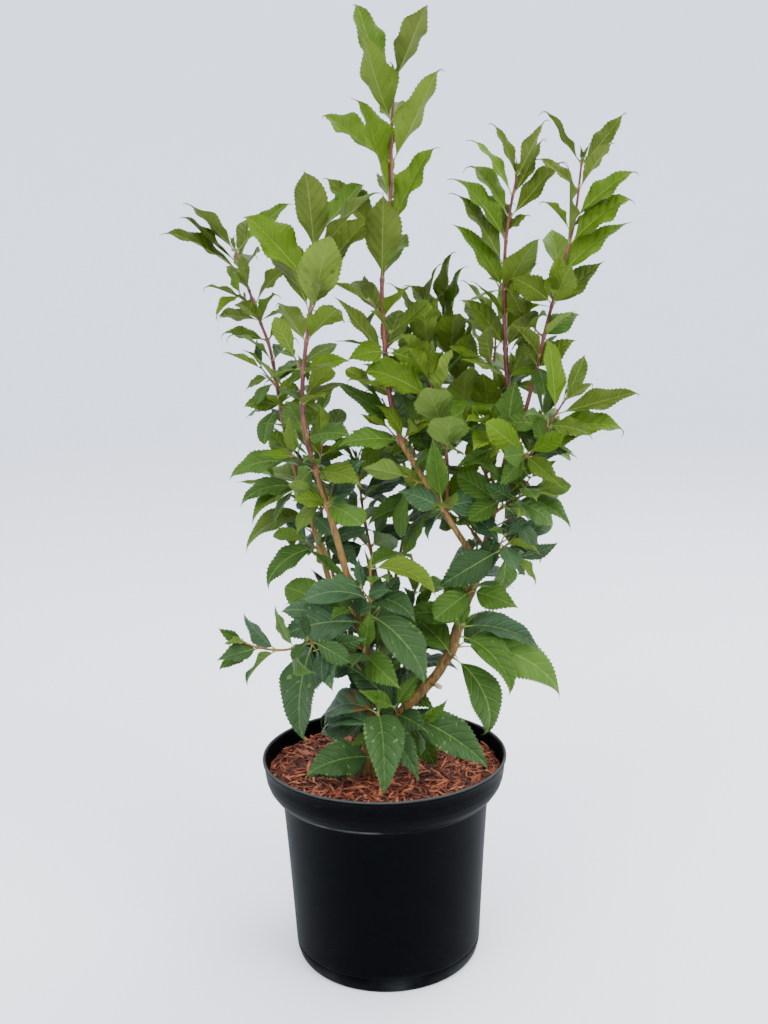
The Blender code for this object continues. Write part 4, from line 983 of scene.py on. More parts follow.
def place_leaves():
    """Every leaf of every shoot, placed by the source's rule among the pot, limbs and shoots."""
    space = Space()
    for name in ("pot", *LIMBS):
        space.add_mesh(name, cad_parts[name].data)
    for name, shoot in SHOOTS.items():
        path = Path(shoot["points"])
        foot = clear_foot(path, shoot["thick"][0], space)
        stops = [foot] + [run for run in path.run[::2] if run > foot + MM]
        radii = [mix(shoot["thick"], stop / path.length) * MM for stop in stops]
        rings, faces, _ = tube([path.at(stop)[0] for stop in stops], radii, 4)
        space.add(name, [Vector(place) for place in rings], faces)
    grown = {name: [] for name in SHOOTS}
    draws = {name: random.Random(shoot["seed"]) for name, shoot in SHOOTS.items()}
    waiting = []
    for name, shoot in SHOOTS.items():
        for k, spot in enumerate(nodes(shoot, Path(shoot["points"]))):
            for side, way in enumerate(pair_ways(shoot, k, spot, draws[name])):
                reach = shoot["reach"].get(k, (None, None))[side] or (0, 0)
                share = k / max(len(shoot["lengths"]) - 1, 1)
                waiting.append((-math.hypot(*reach), name, way, share))
    for _, name, way, share in sorted(waiting, key=lambda entry: entry[0]):
        leaf = place_leaf(way, name, "leaf of " + name, space)
        if leaf:
            grown[name].append((leaf, share))
            space.add("leaf of " + name, *leaf.solid())
    return grown, space


def shade_at(height, draw):
    """One of the shades that leaves have at a height, brighter towards the top."""
    return draw.choice(next(shades for lowest, shades in DEALT if height > lowest))


def kind_of(leaf, share, draw):
    """Narrow and drawn out near a tall shoot's tip, often blunt on its lower nodes, else grown."""
    height = leaf.root.z / MM
    if height > YOUNG_ABOVE and share < YOUNG_SHARE:
        return "young"
    if height > ROUND_ABOVE and share > ROUND_FROM and leaf.length < ROUND_LEAF * MM:
        return "round" if draw.random() < ROUND_SHARE else "grown"
    return "grown"


def grow_leaf(leaf, heaps, draw, share):
    """A leaf's blade, midrib and tip. The leaves near a shoot's tip take the colours from higher up."""
    height = leaf.root.z / MM + draw.uniform(-HEIGHT_STRAY, HEIGHT_STRAY)
    # Leaves near a tip take lighter shades: partly young growth, partly painted light for light through
    # the leaves.
    height += TIP_LIGHTENING * max(0.0, TIP_LIGHTENING_SHARE - share)
    tone = draw.uniform(0.0, 1.0)
    kind = kind_of(leaf, share, draw)
    hook, twist = grow_blade(leaf, heaps[shade_at(height, draw)], draw, kind, tone)
    grow_midrib(leaf, heaps["midribs"], hook, twist, tone)
    if kind == "young":
        grow_hair(leaf, heaps["leaf_tips"], hook, twist, draw)


def grow_hair(leaf, heap, hook, twist, draw):
    """The dry, curled thread in which a young leaf ends."""
    spots, along, _, upper = leaf_line(leaf, np.array([HAIR_FROM, 1.0]), hook, twist)
    length = min(draw.uniform(*HAIR) * MM, leaf.length * HAIR_MOST)
    turn = np.linspace(0, draw.uniform(*HAIR_CURL), HAIR_STEPS + 1)
    ahead = np.outer(np.cos(turn), along[1]) - np.outer(np.sin(turn), upper[1])
    steps = np.cumsum(ahead[:-1] * length / HAIR_STEPS, axis=0)
    places = spots[0] + np.vstack([np.zeros(3), steps])
    heap.add_tube(places, np.linspace(*HAIR_RADII, HAIR_STEPS + 1), 5, draw.random())


def grow_tip(path, heaps, draw):
    """The unfolding pairs at a shoot's end, and its bud."""
    for pair, (length, lift, back) in enumerate(TIP_PAIRS):
        spot, axis = path.at(path.length - back * MM)
        turn = draw.uniform(0, 90) + 90 * pair
        for side in (0, 180):
            size = length * draw.uniform(*TIP_SIZE)
            rise = lift + draw.uniform(-TIP_LIFT_STRAY, TIP_LIFT_STRAY)
            leaf = Leaf(spot, axis, turn + side, rise, draw.uniform(*TIP_BEND), size,
                        draw.uniform(*TIP_WIDE), TIP_FACE, TIP_FOLD)
            grow_leaf(leaf, heaps, draw, 0.0)
    spot, axis = path.at(path.length)
    grow_bud(spot - axis * END_BUD_SUNK * MM, axis, END_BUD, heaps["buds"], draw.random())


def grow_bud(foot, axis, length, heap, tone):
    """A pointed bud of a few scales."""
    places = np.array(foot) + np.outer(BUD_SHARES, np.array(axis)) * length * MM
    heap.add_tube(places, np.array(BUD_RADII) * length, 6, tone)


def grow_twig(shoot, heaps, draw):
    """A shoot's stem with its nodes swollen and a bud above each, and its tip."""
    path, places, stops, radii = stem_line(shoot, TWIG_STEP)
    radii *= 1 + FOOT_SWELL * np.exp(-(stops / FOOT_SWELL_REACH) ** 2)
    spots = nodes(shoot, path)
    for spot, _ in spots:
        far = np.linalg.norm(places - np.array(spot), axis=1) / MM
        radii *= 1 + NODE_SWELL * np.exp(-(far / NODE_REACH) ** 2)
    heaps["twigs"].add_tube(places, radii, TWIG_SIDES, draw.random(), squareness=SQUARENESS)
    for k, (spot, axis) in enumerate(spots):
        for way in (1, -1):
            out = way * outward(axis, math.radians(shoot["turn"] + 90 * k))
            foot = spot + out * mix(shoot["thick"], 0.5) * BUD_SEAT[0] * MM + axis * BUD_SEAT[1] * MM
            ahead = (axis * BUD_LEAN[1] + out * BUD_LEAN[0]).normalized()
            grow_bud(foot, ahead, draw.uniform(*BUD_LENGTH), heaps["buds"], draw.random())
    grow_tip(path, heaps, draw)


def side_leaves(name, shoot, space, draw):
    """Finer twigs in the axils of a shoot, with their few small leaves, where there is room."""
    spots = nodes(shoot, Path(shoot["points"]))
    grown = []
    for k, (spot, axis) in enumerate(spots[1:], 1):
        share = k / max(len(spots) - 1, 1)
        for way in (0, 180):
            if draw.random() > mix(SIDE_CHANCE, share) and name not in FULL_AXILS:
                continue
            turn = shoot["turn"] + 90 * k + way + draw.uniform(-TURN_STRAY, TURN_STRAY)
            out = outward(axis, math.radians(turn))
            length = draw.uniform(*SIDE_LENGTH) * mix(SIDE_GROWS, share)
            grown.append(grow_spur(spot, axis, out, length, SIDE_LEAF, share, name, space, draw))
    return grown


def grow_spur(spot, axis, out, length, sizes, share, name, space, draw):
    """A short twig that leaves its axil aslant and bends up, and its leaves that find room."""
    slope = math.radians(draw.uniform(*SIDE_SLOPE))
    ahead = axis * math.cos(slope) + out * math.sin(slope)
    bent = (ahead + axis * UPTURN).normalized()
    half_way = spot / MM + ahead * length * 0.5
    path = Path([spot / MM, half_way, half_way + bent * length * 0.5])
    turn = draw.uniform(0, 90)
    count = 1 + int(length / SIDE_GAP)
    lengths = [draw.uniform(*sizes) * mix(LEAF_GROWS, share) for _ in range(count)]
    twig = {"turn": turn, "lengths": lengths, **SIDE_TWIG}
    held = []
    for place, twig_spot in enumerate(nodes(twig, path)):
        for way in pair_ways(twig, place, twig_spot, draw):
            leaf = place_leaf(way, name, "leaf of " + name, space)
            if leaf:
                space.add("leaf of " + name, *leaf.solid())
                held.append((leaf, share))
    return path, held


def limb_spurs(name, limb, space, draw):
    """Short leafy spurs on the older wood."""
    path = Path(limb["points"])
    grown = []
    first, gap = LEAFY_WOOD[name]
    for far in np.arange(first, path.length / MM - SPUR_END, gap):
        spot, axis = path.at((far + draw.uniform(-SPUR_STRAY, SPUR_STRAY)) * MM)
        turn = draw.uniform(0, FULL_TURN)
        for way in (0, math.pi):
            out = outward(axis, turn + way)
            foot = spot + out * SPUR_SEAT * limb["thick"][1] * MM
            length = draw.uniform(*SPUR_LENGTH)
            grown.append(grow_spur(foot, axis, out, length, SPUR_LEAF, SPUR_SHARE, name, space, draw))
    return grown


def fine_growth(leaves, spurs, heaps, draw):
    """The leaves of a shoot and of its finer twigs, then the twigs that hold any, with their buds."""
    spurs = [(path, held) for path, held in spurs if held]
    for leaf, share in leaves + [entry for _, held in spurs for entry in held]:
        grow_leaf(leaf, heaps, draw, share)
    for path, _ in spurs:
        places = smooth_path(path, TWIG_STEP)
        radii = np.linspace(*SIDE_THICK, len(places))
        heaps["twigs"].add_tube(places, radii, 8, draw.random())
        grow_bud(*path.at(path.length), SPUR_BUD, heaps["buds"], draw.random())


def bark_relief(count, seed):
    """Long ridges and small lumps over a limb, as shares of its radius."""
    relief = np.zeros((count, BARK_SIDES))
    for i in range(count):
        for j in range(BARK_SIDES):
            turn = 2 * math.pi * j / BARK_SIDES
            around = Vector((math.cos(turn), math.sin(turn), 0.0))
            ridges = noise.noise(around * RIDGES[1] + Vector((seed, 0.0, i * RIDGES[2])))
            lumps = noise.noise(around * LUMPS[1] + Vector((0.0, seed, i * LUMPS[2])))
            relief[i, j] = RIDGES[0] * ridges + LUMPS[0] * lumps
    return relief


def grow_limb(item, heaps, seed):
    """A stem or bough with a flared root, ridged bark and its old nodes as low rings."""
    draw = random.Random(seed)
    path, places, stops, radii = stem_line(item, BARK_STEP)
    if item["points"][0][2] == MULCH_TOP:
        radii *= 1 + FOOT_FLARE * np.exp(-stops / FOOT_REACH)
        ahead = places[0] - places[1]
        places = np.vstack([[places[0] + ahead * step for step in BURIED], places])
        radii = np.concatenate([[radii[0]] * len(BURIED), radii])
        stops = np.concatenate([[-step for step in BURIED], stops])
    relief = bark_relief(len(places), seed)
    turns = turns_of(BARK_SIDES)
    along = draw.uniform(*OLD_NODE_FROM)
    turn = draw.uniform(*OLD_NODE_TURN)
    while along < path.length / MM - OLD_NODE_END:
        ring = np.exp(-((stops - along) / OLD_NODE_REACH) ** 2)[:, None]
        scars = OLD_NODE_EVEN + (1 - OLD_NODE_EVEN) * np.cos(turns - turn)[None, :] ** 2
        relief += OLD_NODE_SWELL * ring * scars
        along += draw.uniform(*OLD_NODE_GAP)
        turn += math.pi / 2
    heaps["limbs"].add_tube(places, radii, BARK_SIDES, draw.random(), relief=relief)


def grow_stub(foot, tip, radius, bare, heaps, seed):
    """A pruned end with a pale cut face. bare is how much of it has also lost its bark."""
    foot, tip = np.array(foot) * MM, np.array(tip) * MM
    shares = np.linspace(0, 1, STUB_STEPS)[:, None]
    radii = radius * (1 + STUB_FLARE[0] * np.exp(-shares[:, 0] * STUB_FLARE[1]))
    relief = bark_relief(STUB_STEPS, seed) * STUB_RELIEF
    heaps["limbs"].add_tube(foot + (tip - foot) * shares, radii, BARK_SIDES, 0.4, relief=relief)
    ahead = (tip - foot) / np.linalg.norm(tip - foot)
    cut = np.array([foot + (tip - foot) * (1 - bare), tip, tip]) + np.outer(CUT_PLACES, ahead) * MM
    heaps["cut_wood"].add_tube(cut, np.array(CUT_RADII[bare > 0]) * radius, CUT_SIDES, 0.5)


# Finishes
class Value:
    """A socket of a finish's node tree. Arithmetic on it adds Math nodes."""

    def __init__(self, finish, socket):
        self.finish = finish
        self.socket = socket

    def out(self, name):
        """Another output of the same node."""
        return Value(self.finish, self.socket.node.outputs[name])

    def math(self, operation, first, second=0.0):
        return self.finish.node("ShaderNodeMath", {"operation": operation}, {0: first, 1: second})

    def __add__(self, other):
        return self.math("ADD", self, other)

    def __radd__(self, other):
        return self.math("ADD", other, self)

    def __sub__(self, other):
        return self.math("SUBTRACT", self, other)

    def __rsub__(self, other):
        return self.math("SUBTRACT", other, self)

    def __mul__(self, other):
        return self.math("MULTIPLY", self, other)

    def __rmul__(self, other):
        return self.math("MULTIPLY", other, self)

    def __pow__(self, other):
        return self.math("POWER", self, other)

    def size(self):
        return self.math("ABSOLUTE", self)

    def fold(self, scale):
        """How far the value lies from the nearest multiple of twice the scale."""
        return self.math("PINGPONG", self, scale)

    def between(self, low, high):
        """0 below low, 1 above high and a smooth step from one to the other."""
        sockets = {0: self, 1: low, 2: high}
        return self.finish.node("ShaderNodeMapRange", {"interpolation_type": "SMOOTHSTEP"}, sockets)


def paint(colour):
    """An sRGB colour in bytes as the linear colour that a shader takes."""
    linear = [c / 255 / 12.92 if c < 11 else ((c / 255 + 0.055) / 1.055) ** 2.4 for c in colour]
    return (*linear, 1.0)


def join(tree, value, socket):
    """Give a socket a plain value, or link it to what feeds it."""
    value = value.socket if isinstance(value, Value) else value
    if isinstance(value, bpy.types.NodeSocket):
        tree.links.new(value, socket)
    else:
        socket.default_value = value


def add_node(tree, kind, settings=None, sockets=None):
    """Add a node: its settings first, then the values or links of its sockets."""
    made = tree.nodes.new(kind)
    for name, value in (settings or {}).items():
        setattr(made, name, value)
    for name, value in (sockets or {}).items():
        join(tree, value, made.inputs[name])
    return made


class Finish:
    """A material on one Principled shader, and what adds nodes to it."""

    def __init__(self, name, roughness, shine=0.5):
        self.material = bpy.data.materials.new(name)
        self.material.use_nodes = True
        self.tree = self.material.node_tree
        self.shader = self.tree.nodes["Principled BSDF"]
        self.shader.inputs["Roughness"].default_value = roughness
        self.shader.inputs["Specular IOR Level"].default_value = shine

    def node(self, kind, settings=None, sockets=None, output=0):
        """Add a node and return one of its outputs."""
        return Value(self, add_node(self.tree, kind, settings, sockets).outputs[output])

    def feed(self, name, value):
        join(self.tree, value, self.shader.inputs[name])

    def place(self, stretch=(1.0, 1.0, 1.0)):
        """Object coordinates, stretched."""
        spot = self.node("ShaderNodeTexCoord", output="Object")
        return self.node("ShaderNodeMapping", None, {"Vector": spot, "Scale": stretch})

    def height(self):
        """How high a place lies, in metres."""
        return self.node("ShaderNodeSeparateXYZ", None, {0: self.place()}).out("Z")

    def tone(self):
        """What sets one leaf or twig apart from the next, from 0 to 1."""
        return self.node("ShaderNodeAttribute", {"attribute_name": "tone"}, output="Fac")

    def noise(self, scale, detail=3.0, roughness=0.55, stretch=(1.0, 1.0, 1.0)):
        sockets = {"Vector": self.place(stretch), "Scale": scale, "Detail": detail, "Roughness": roughness}
        return self.node("ShaderNodeTexNoise", None, sockets)

    def cells(self, scale, feature="F1"):
        sockets = {"Vector": self.place(), "Scale": scale}
        return self.node("ShaderNodeTexVoronoi", {"feature": feature}, sockets)

    def blend(self, share, *ends):
        """A colour between two others, each in sRGB bytes or a blend itself."""
        first, second = (paint(end) if isinstance(end, tuple) else end for end in ends)
        return self.node("ShaderNodeMix", {"data_type": "RGBA"}, {0: share, 6: first, 7: second}, output=2)

    def colour(self, share, first, second):
        self.feed("Base Color", self.blend(share, first, second))

    def bump(self, height, distance, strength=1.0):
        sockets = {"Height": height, "Distance": distance, "Strength": strength}
        self.feed("Normal", self.node("ShaderNodeBump", None, sockets))


def leaf_face(name, dark, light, vein, roughness, shine, vein_share, spotted_above):
    """A leaf's skin: its own tone, mottling, painted shade that darkens it towards the vein furrows, paler
    veins in furrows, and dry spots on a few leaves.
    """
    finish = Finish(name, roughness, shine)
    uv = finish.node("ShaderNodeUVMap", {"uv_map": "along_and_across"})
    parts = finish.node("ShaderNodeSeparateXYZ", None, {0: uv})
    aside = (parts.out("Y") - 0.5).size()
    tone = finish.tone()
    mottle = finish.noise(130.0)
    from_vein = vein_phase(parts.out("X"), aside).fold(0.5)
    panels = from_vein.between(0.04, 0.4)
    # panels darkens the skin towards the vein furrows: painted shade of the quilting.
    lightness = (tone * 0.7 + mottle * 0.45 + panels * 0.2 - 0.16).between(0.0, 1.0)
    skin = finish.blend(lightness, dark, light)
    main_veins = 1 - from_vein.between(0.01, 0.085)
    middle = 1 - aside.between(0.003, 0.014)
    net_veins = 1 - finish.cells(620.0, "DISTANCE_TO_EDGE").between(0.0, 0.09)
    faint = (1 - aside * 4).between(0.0, 0.7)
    veins = main_veins * faint * 0.6 + middle * 0.8 + net_veins * 0.16
    whole = finish.blend(veins * vein_share, skin, vein)
    patches = finish.noise(75.0, 2.0).between(0.57, 0.62)
    dry = patches * (tone - spotted_above).between(0.0, 0.004)
    finish.colour(dry * 0.85, whole, DRY_SPOT)
    finish.bump(panels * 0.7 + 0.3 - main_veins * 0.3 - net_veins * 0.3, 0.0006, 0.8)
    return finish.material


def plain_stalk(name, dark, light, roughness=0.5):
    """Stalks, midribs, buds and cut wood: a soft tint that shifts a little from one to the next."""
    finish = Finish(name, roughness)
    streaks = finish.noise(500.0, stretch=(1, 1, 0.3))
    finish.colour(finish.tone() * 0.7 + streaks * 0.5 - 0.1, dark, light)
    finish.bump(streaks, 0.0001, 0.4)
    return finish.material


def bark(name, tan, brown, red, red_from, red_to):
    """Bark that turns from brown-tan wood to this year's reddish growth as it rises."""
    finish = Finish(name, 0.62)
    streaks = finish.noise(420.0, 5.0, 0.65, (1, 1, 0.16))
    patches = finish.noise(60.0)
    young = (finish.height() + patches * 0.05 - 0.025).between(red_from, red_to)
    wood = finish.blend(streaks.between(0.34, 0.66), brown, tan)
    shoot = finish.blend((patches * 0.7 + streaks * 0.8).between(0.6, 0.9), *red)
    finish.colour(young, wood, shoot)
    finish.feed("Roughness", 0.74 - young * 0.28)
    finish.bump(streaks * (1 - young * 0.7), 0.0004, 0.8)
    return finish.material


def pot_plastic():
    """Black moulded plastic with a dull skin, fine scuffs and dust, and pale lines on the lip and on the
    band's lower edge that are partly wear and partly painted highlight.
    """
    finish = Finish("black_pot_plastic", 0.5, 0.03)
    height = finish.height()
    cloud = finish.noise(26.0, 5.0, 0.62)
    scratch = finish.noise(90.0, 4.0, 0.7, (1, 1, 7))
    grain = finish.noise(2200.0, 2.0)
    # A pale line on the top of the lip: partly wear, partly painted highlight.
    lip = height.between(0.1622, 0.1638) * (0.55 + scratch * 0.5)
    # A pale patchy line where the band's lower edge steps in to the body: partly wear, partly painted
    # highlight.
    edge = (height - 0.1362).size()
    worn_and_lit_edge = (1 - edge.between(0.0003, 0.0016)) * cloud.between(0.4, 0.62)
    scuffs = scratch.between(0.58, 0.76) * cloud.between(0.4, 0.62)
    dust_and_highlights = scuffs * 0.09 + worn_and_lit_edge * 0.55 + lip * 0.6
    low = (0.014 - height).between(-0.004, 0.012) * cloud.between(0.4, 0.7) * 0.14
    finish.colour(dust_and_highlights + low, *BLACK_DUST_AND_HIGHLIGHT)
    finish.feed("Roughness", 0.44 + dust_and_highlights * 0.35 + grain * 0.08)
    finish.bump(grain * 0.4 + scratch * 0.6, 0.00012, 0.5)
    return finish.material


def crumbs(name, dark, light, scale):
    """Soil, or the fine stuff between the chips."""
    finish = Finish(name, 0.95)
    grains = finish.noise(scale, 6.0, 0.7)
    finish.colour(grains.between(0.35, 0.7), dark, light)
    finish.bump(grains + finish.cells(scale * 1.6) * 0.6, 0.0014)
    return finish.material


def chip_fibre(name, dark, light):
    """Shredded bark: fibres along the chip, in its own tone."""
    finish = Finish(name, 0.86)
    fibres = finish.noise(340.0, 5.0, 0.7, (1, 1, 2.4))
    tints = finish.noise(95.0, 2.0)
    finish.colour(fibres.between(0.3, 0.72) * 0.7 + tints.between(0.35, 0.65) * 0.4 - 0.05, dark, light)
    finish.bump(fibres, 0.0008, 0.9)
    return finish.material


# Pot
def lathe(name, profile, steps, finish):
    """A closed body turned from radii and heights in millimetres, top to bottom on its outside."""
    places = []
    faces = []
    rings = []
    for radius, height in profile:
        corners = steps if radius else 1
        rings.append(range(len(places), len(places) + corners))
        for turn in turns_of(corners):
            places.append((radius * MM * math.cos(turn), radius * MM * math.sin(turn), height * MM))
    for upper, lower in zip(rings, rings[1:]):
        for i in range(steps):
            j = (i + 1) % steps
            corners = (upper[i % len(upper)], lower[i % len(lower)],
                       lower[j % len(lower)], upper[j % len(upper)])
            faces.append(list(dict.fromkeys(corners)))
    mesh = bpy.data.meshes.new(name)
    mesh.from_pydata(places, [], faces)
    smooth(mesh, POT_SHARP)
    mesh.materials.append(finish)
    return show(name, mesh)


def rounded(points, radius):
    """An outline with each inner corner turned into a short arc."""
    made = [points[0]]
    for before, corner, after in zip(points, points[1:], points[2:]):
        a, b, c = (np.array(place, dtype=float) for place in (before, corner, after))
        back = min(radius, np.linalg.norm(a - b) / ARC_MOST)
        ahead = min(radius, np.linalg.norm(c - b) / ARC_MOST)
        start = b + (a - b) / np.linalg.norm(a - b) * back
        end = b + (c - b) / np.linalg.norm(c - b) * ahead
        for t in (step / ARC_STEPS for step in range(ARC_STEPS + 1)):
            made.append(tuple((1 - t) ** 2 * start + 2 * t * (1 - t) * b + t ** 2 * end))
    return made + [points[-1]]


def inner_radius(height):
    """The pot's inner radius at a height."""
    outside = BAND + BODY
    for (upper, top), (lower, bottom) in zip(outside, outside[1:]):
        if bottom <= height <= top:
            return mix((lower, upper), (height - bottom) / (top - bottom)) - SHELL
    return outside[0][0] - SHELL


def make_pot():
    """The pot with its rolled lip, the band under it, the step to the body and the foot's groove."""
    inside = [(0.0, FLOOR)] + [(inner_radius(height), height) for height in (FLOOR, *INSIDE_HEIGHTS)]
    outside = rounded(FINE_BAND, BAND_ROUND)[1:] + rounded(FINE_BODY, BODY_ROUND)[1:]
    return lathe("pot_shell", [*inside, *LIP, *outside, (0.0, 0.0)], POT_STEPS, pot_plastic())


# Filling
def mulch_height(x, y):
    """The heap's height at a place, in millimetres, with its lumps."""
    edge = inner_radius(MULCH_EDGE)
    share = min(max((math.hypot(x, y) - MULCH_FLAT) / (edge - MULCH_FLAT), 0.0), 1.0)
    lumps = 0.9 * math.sin(x * 0.11 + 1.7) * math.cos(y * 0.13)
    lumps += 0.5 * math.sin(x * 0.31) * math.sin(y * 0.27 + 2)
    return MULCH_TOP - MULCH_DROP - (MULCH_TOP - MULCH_EDGE) * share ** 1.5 + lumps


def make_mulch_bed():
    """The fine stuff under the chips, a lumpy disc with a skirt down the pot's inside."""
    edge = inner_radius(MULCH_EDGE) - BED_CLEAR[0]
    profile = [(edge * ring / BED_RINGS, MULCH_TOP) for ring in range(BED_RINGS + 1)]
    profile += [(inner_radius(height) - BED_CLEAR[1], height) for height in BED_SKIRT]
    profile.append((0.0, BED_SKIRT[-1]))
    bed = lathe("mulch_bed", profile, BED_STEPS, crumbs(*MULCH_CRUMBS))
    for vertex in bed.data.vertices:
        if vertex.co.z > (MULCH_TOP - 1) * MM:
            vertex.co.z = mulch_height(vertex.co.x / MM, vertex.co.y / MM) * MM
    return bed


def chip_shape(seed):
    """One shred of bark along X, about 1 long: a bent, ragged sliver."""
    draw = random.Random(seed)
    slim = draw.uniform(*CHIP_SLIM)
    places = []
    for ring in range(CHIP_RINGS):
        t = ring / (CHIP_RINGS - 1)
        swell = math.sin(math.pi * min(max(t * 0.9 + 0.06, 0), 1))
        wide = slim * (CHIP_WIDE[0] + CHIP_WIDE[1] * swell) * draw.uniform(*CHIP_STRAY)
        round_part = math.sin(math.pi * t)
        thick = slim * (CHIP_THICK[0] + CHIP_THICK[1] * round_part) * draw.uniform(*CHIP_STRAY)
        arch = CHIP_ARCH * round_part * draw.uniform(-1, 1)
        middle = Vector((t - 0.5, CHIP_BEND[0] * math.sin(CHIP_BEND[1] * t + seed), arch))
        tilt = draw.uniform(-CHIP_TILT, CHIP_TILT)
        for a, b in CHIP_CORNERS:
            along = draw.uniform(-CHIP_RAGGED, CHIP_RAGGED)
            places.append(middle + Vector((along, wide * a, thick * b + wide * a * tilt)))
    faces = [(first + j, first + (j + 1) % 4, first + 4 + (j + 1) % 4, first + 4 + j)
             for first in range(0, len(places) - 4, 4) for j in range(4)]
    faces += [(3, 2, 1, 0), range(len(places) - 4, len(places))]
    made = bmesh.new()
    corners = [made.verts.new(place) for place in places]
    for face in faces:
        made.faces.new([corners[i] for i in face])
    bmesh.ops.recalc_face_normals(made, faces=made.faces)
    return object_of("chip_%d" % seed, made)


def lens_shape():
    """A low raised dot."""
    made = bmesh.new()
    bmesh.ops.create_icosphere(made, subdivisions=1, radius=0.5)
    for vertex in made.verts:
        vertex.co *= Vector(DOT_FLATNESS)
    return object_of("raised_dot", made)


def bed_top(bed):
    """The upper face of the mulch alone, to strew chips on."""
    made = bmesh.new()
    made.from_mesh(bed.data)
    low = [face for face in made.faces if face.normal.z < 0.5]
    bmesh.ops.delete(made, geom=low, context="FACES")
    return object_of("bed_top", made)


def scatter_tree(name, shapes):
    """Geometry Nodes that strew shapes over a surface, turned and sized at random."""
    held = bpy.data.collections.new(name + "_shapes")
    for shape in shapes:
        held.objects.link(shape)
    tree = bpy.data.node_groups.new(name, "GeometryNodeTree")
    asked = [("Geometry", "INPUT", "Geometry"), ("Geometry", "OUTPUT", "Geometry")]
    asked += [(label, "INPUT", "Float") for label in STREWN_BY[:-1]]
    asked += [("Seed", "INPUT", "Int"), ("Finish", "INPUT", "Material")]
    for label, way, kind in asked:
        tree.interface.new_socket(label, in_out=way, socket_type="NodeSocket" + kind)

    def add(kind, sockets, settings=None):
        return add_node(tree, kind, settings, sockets).outputs

    def number(sockets, label):
        return [socket for socket in sockets if socket.name == label and socket.type == "VALUE"][0]

    given = add("NodeGroupInput", {})
    spread = add("GeometryNodeDistributePointsOnFaces",
                 {"Mesh": given["Geometry"], "Seed": given["Seed"]}, {"distribute_method": "POISSON"})
    for label, value in (("Distance Min", "Spacing"), ("Density Max", "Most per area")):
        tree.links.new(given[value], spread[0].node.inputs[label])
    less = add("ShaderNodeMath", {0: given["Tilt"], 1: -1.0}, {"operation": "MULTIPLY"})[0]
    parts = []
    for seed, low, high in ((11, less, given["Tilt"]), (12, less, given["Tilt"]), (13, -math.pi, math.pi),
                            (14, given["Smallest"], given["Largest"])):
        draw = add_node(tree, "FunctionNodeRandomValue", None, {"Seed": seed})
        join(tree, low, number(draw.inputs, "Min"))
        join(tree, high, number(draw.inputs, "Max"))
        parts.append(number(draw.outputs, "Value"))
    upright = add("FunctionNodeAlignRotationToVector", {"Vector": spread["Normal"]}, {"axis": "Z"})
    angles = add("ShaderNodeCombineXYZ", dict(enumerate(parts[:3])))
    spin = add("FunctionNodeEulerToRotation", {0: angles[0]})
    turned = add("FunctionNodeRotateRotation", {"Rotation": upright["Rotation"], "Rotate By": spin[0]},
                 {"rotation_space": "LOCAL"})
    source = add("GeometryNodeCollectionInfo",
                 {"Collection": held, "Separate Children": True, "Reset Children": True})
    strewn = add("GeometryNodeInstanceOnPoints",
                 {"Points": spread["Points"], "Instance": source["Instances"], "Pick Instance": True,
                  "Rotation": turned[0], "Scale": parts[3]})
    lift = add("ShaderNodeVectorMath", {0: spread["Normal"], "Scale": given["Raise"]},
               {"operation": "SCALE"})
    raised = add("GeometryNodeSetPosition", {"Geometry": strewn["Instances"], "Offset": lift[0]})
    real = add("GeometryNodeRealizeInstances", {"Geometry": raised["Geometry"]})
    coat = add("GeometryNodeSetMaterial", {"Geometry": real["Geometry"], "Material": given["Finish"]})
    add("NodeGroupOutput", {0: coat["Geometry"]})
    return tree


def scatter(name, tree, ground, finish, values):
    """Run the tree on a surface and return the result as a plain piece."""
    bearer = show(name, ground.data)
    run = bearer.modifiers.new("scatter", "NODES")
    run.node_group = tree
    sockets = {item.name: item.identifier for item in tree.interface.items_tree if item.in_out == "INPUT"}
    for label, value in (("Finish", finish), *zip(STREWN_BY, values)):
        run[sockets[label]] = value
    graph = bpy.context.evaluated_depsgraph_get()
    mesh = bpy.data.meshes.new_from_object(bearer.evaluated_get(graph))
    bearer.modifiers.remove(run)
    bearer.data = mesh
    smooth(mesh, STREWN_SHARP)
    return bearer


def keep_in_pot(mesh):
    """Draw in what would stick through the pot's side."""
    for vertex in mesh.vertices:
        most = (inner_radius(vertex.co.z / MM) - FREE_OF_RIM) * MM
        far = vertex.co.xy.length
        if far > most:
            vertex.co.x *= most / far
            vertex.co.y *= most / far


# Stage
def stage_floor():
    """A pale floor that sweeps up into a backdrop on all sides, with no edge in view."""
    turns = [math.pi / 2 * step / BACKDROP_STEPS for step in range(BACKDROP_STEPS + 1)]
    profile = [(radius, 0) for radius in BACKDROP_RINGS]
    profile += [(BACKDROP_FLAT + BACKDROP_CURVE * math.sin(turn), BACKDROP_CURVE * (1 - math.cos(turn)))
                for turn in turns]
    profile.append((BACKDROP_FLAT + BACKDROP_CURVE, BACKDROP_HEIGHT))
    finish = Finish("pale_backdrop", 0.8)
    finish.colour(finish.noise(3.0, 2.0) * 0.5, *BACKDROP_COLOURS)
    lathe("floor", profile, BED_STEPS, finish.material)


def light(name, place, size, power, colour):
    lamp = bpy.data.lights.new(name, "AREA")
    lamp.shape = "DISK"
    lamp.size = size
    lamp.energy = power
    lamp.color = colour
    item = show(name, lamp)
    item.location = place
    item.rotation_euler = (Vector(LIT_PLACE) - Vector(place)).to_track_quat("-Z", "Y").to_euler()


def set_stage():
    stage_floor()
    world = bpy.data.worlds.new("soft_room")
    world.use_nodes = True
    room = world.node_tree.nodes["Background"].inputs
    room["Color"].default_value = ROOM_COLOUR
    room["Strength"].default_value = ROOM_LIGHT
    bpy.context.scene.world = world
    for lamp in LAMPS:
        light(*lamp)


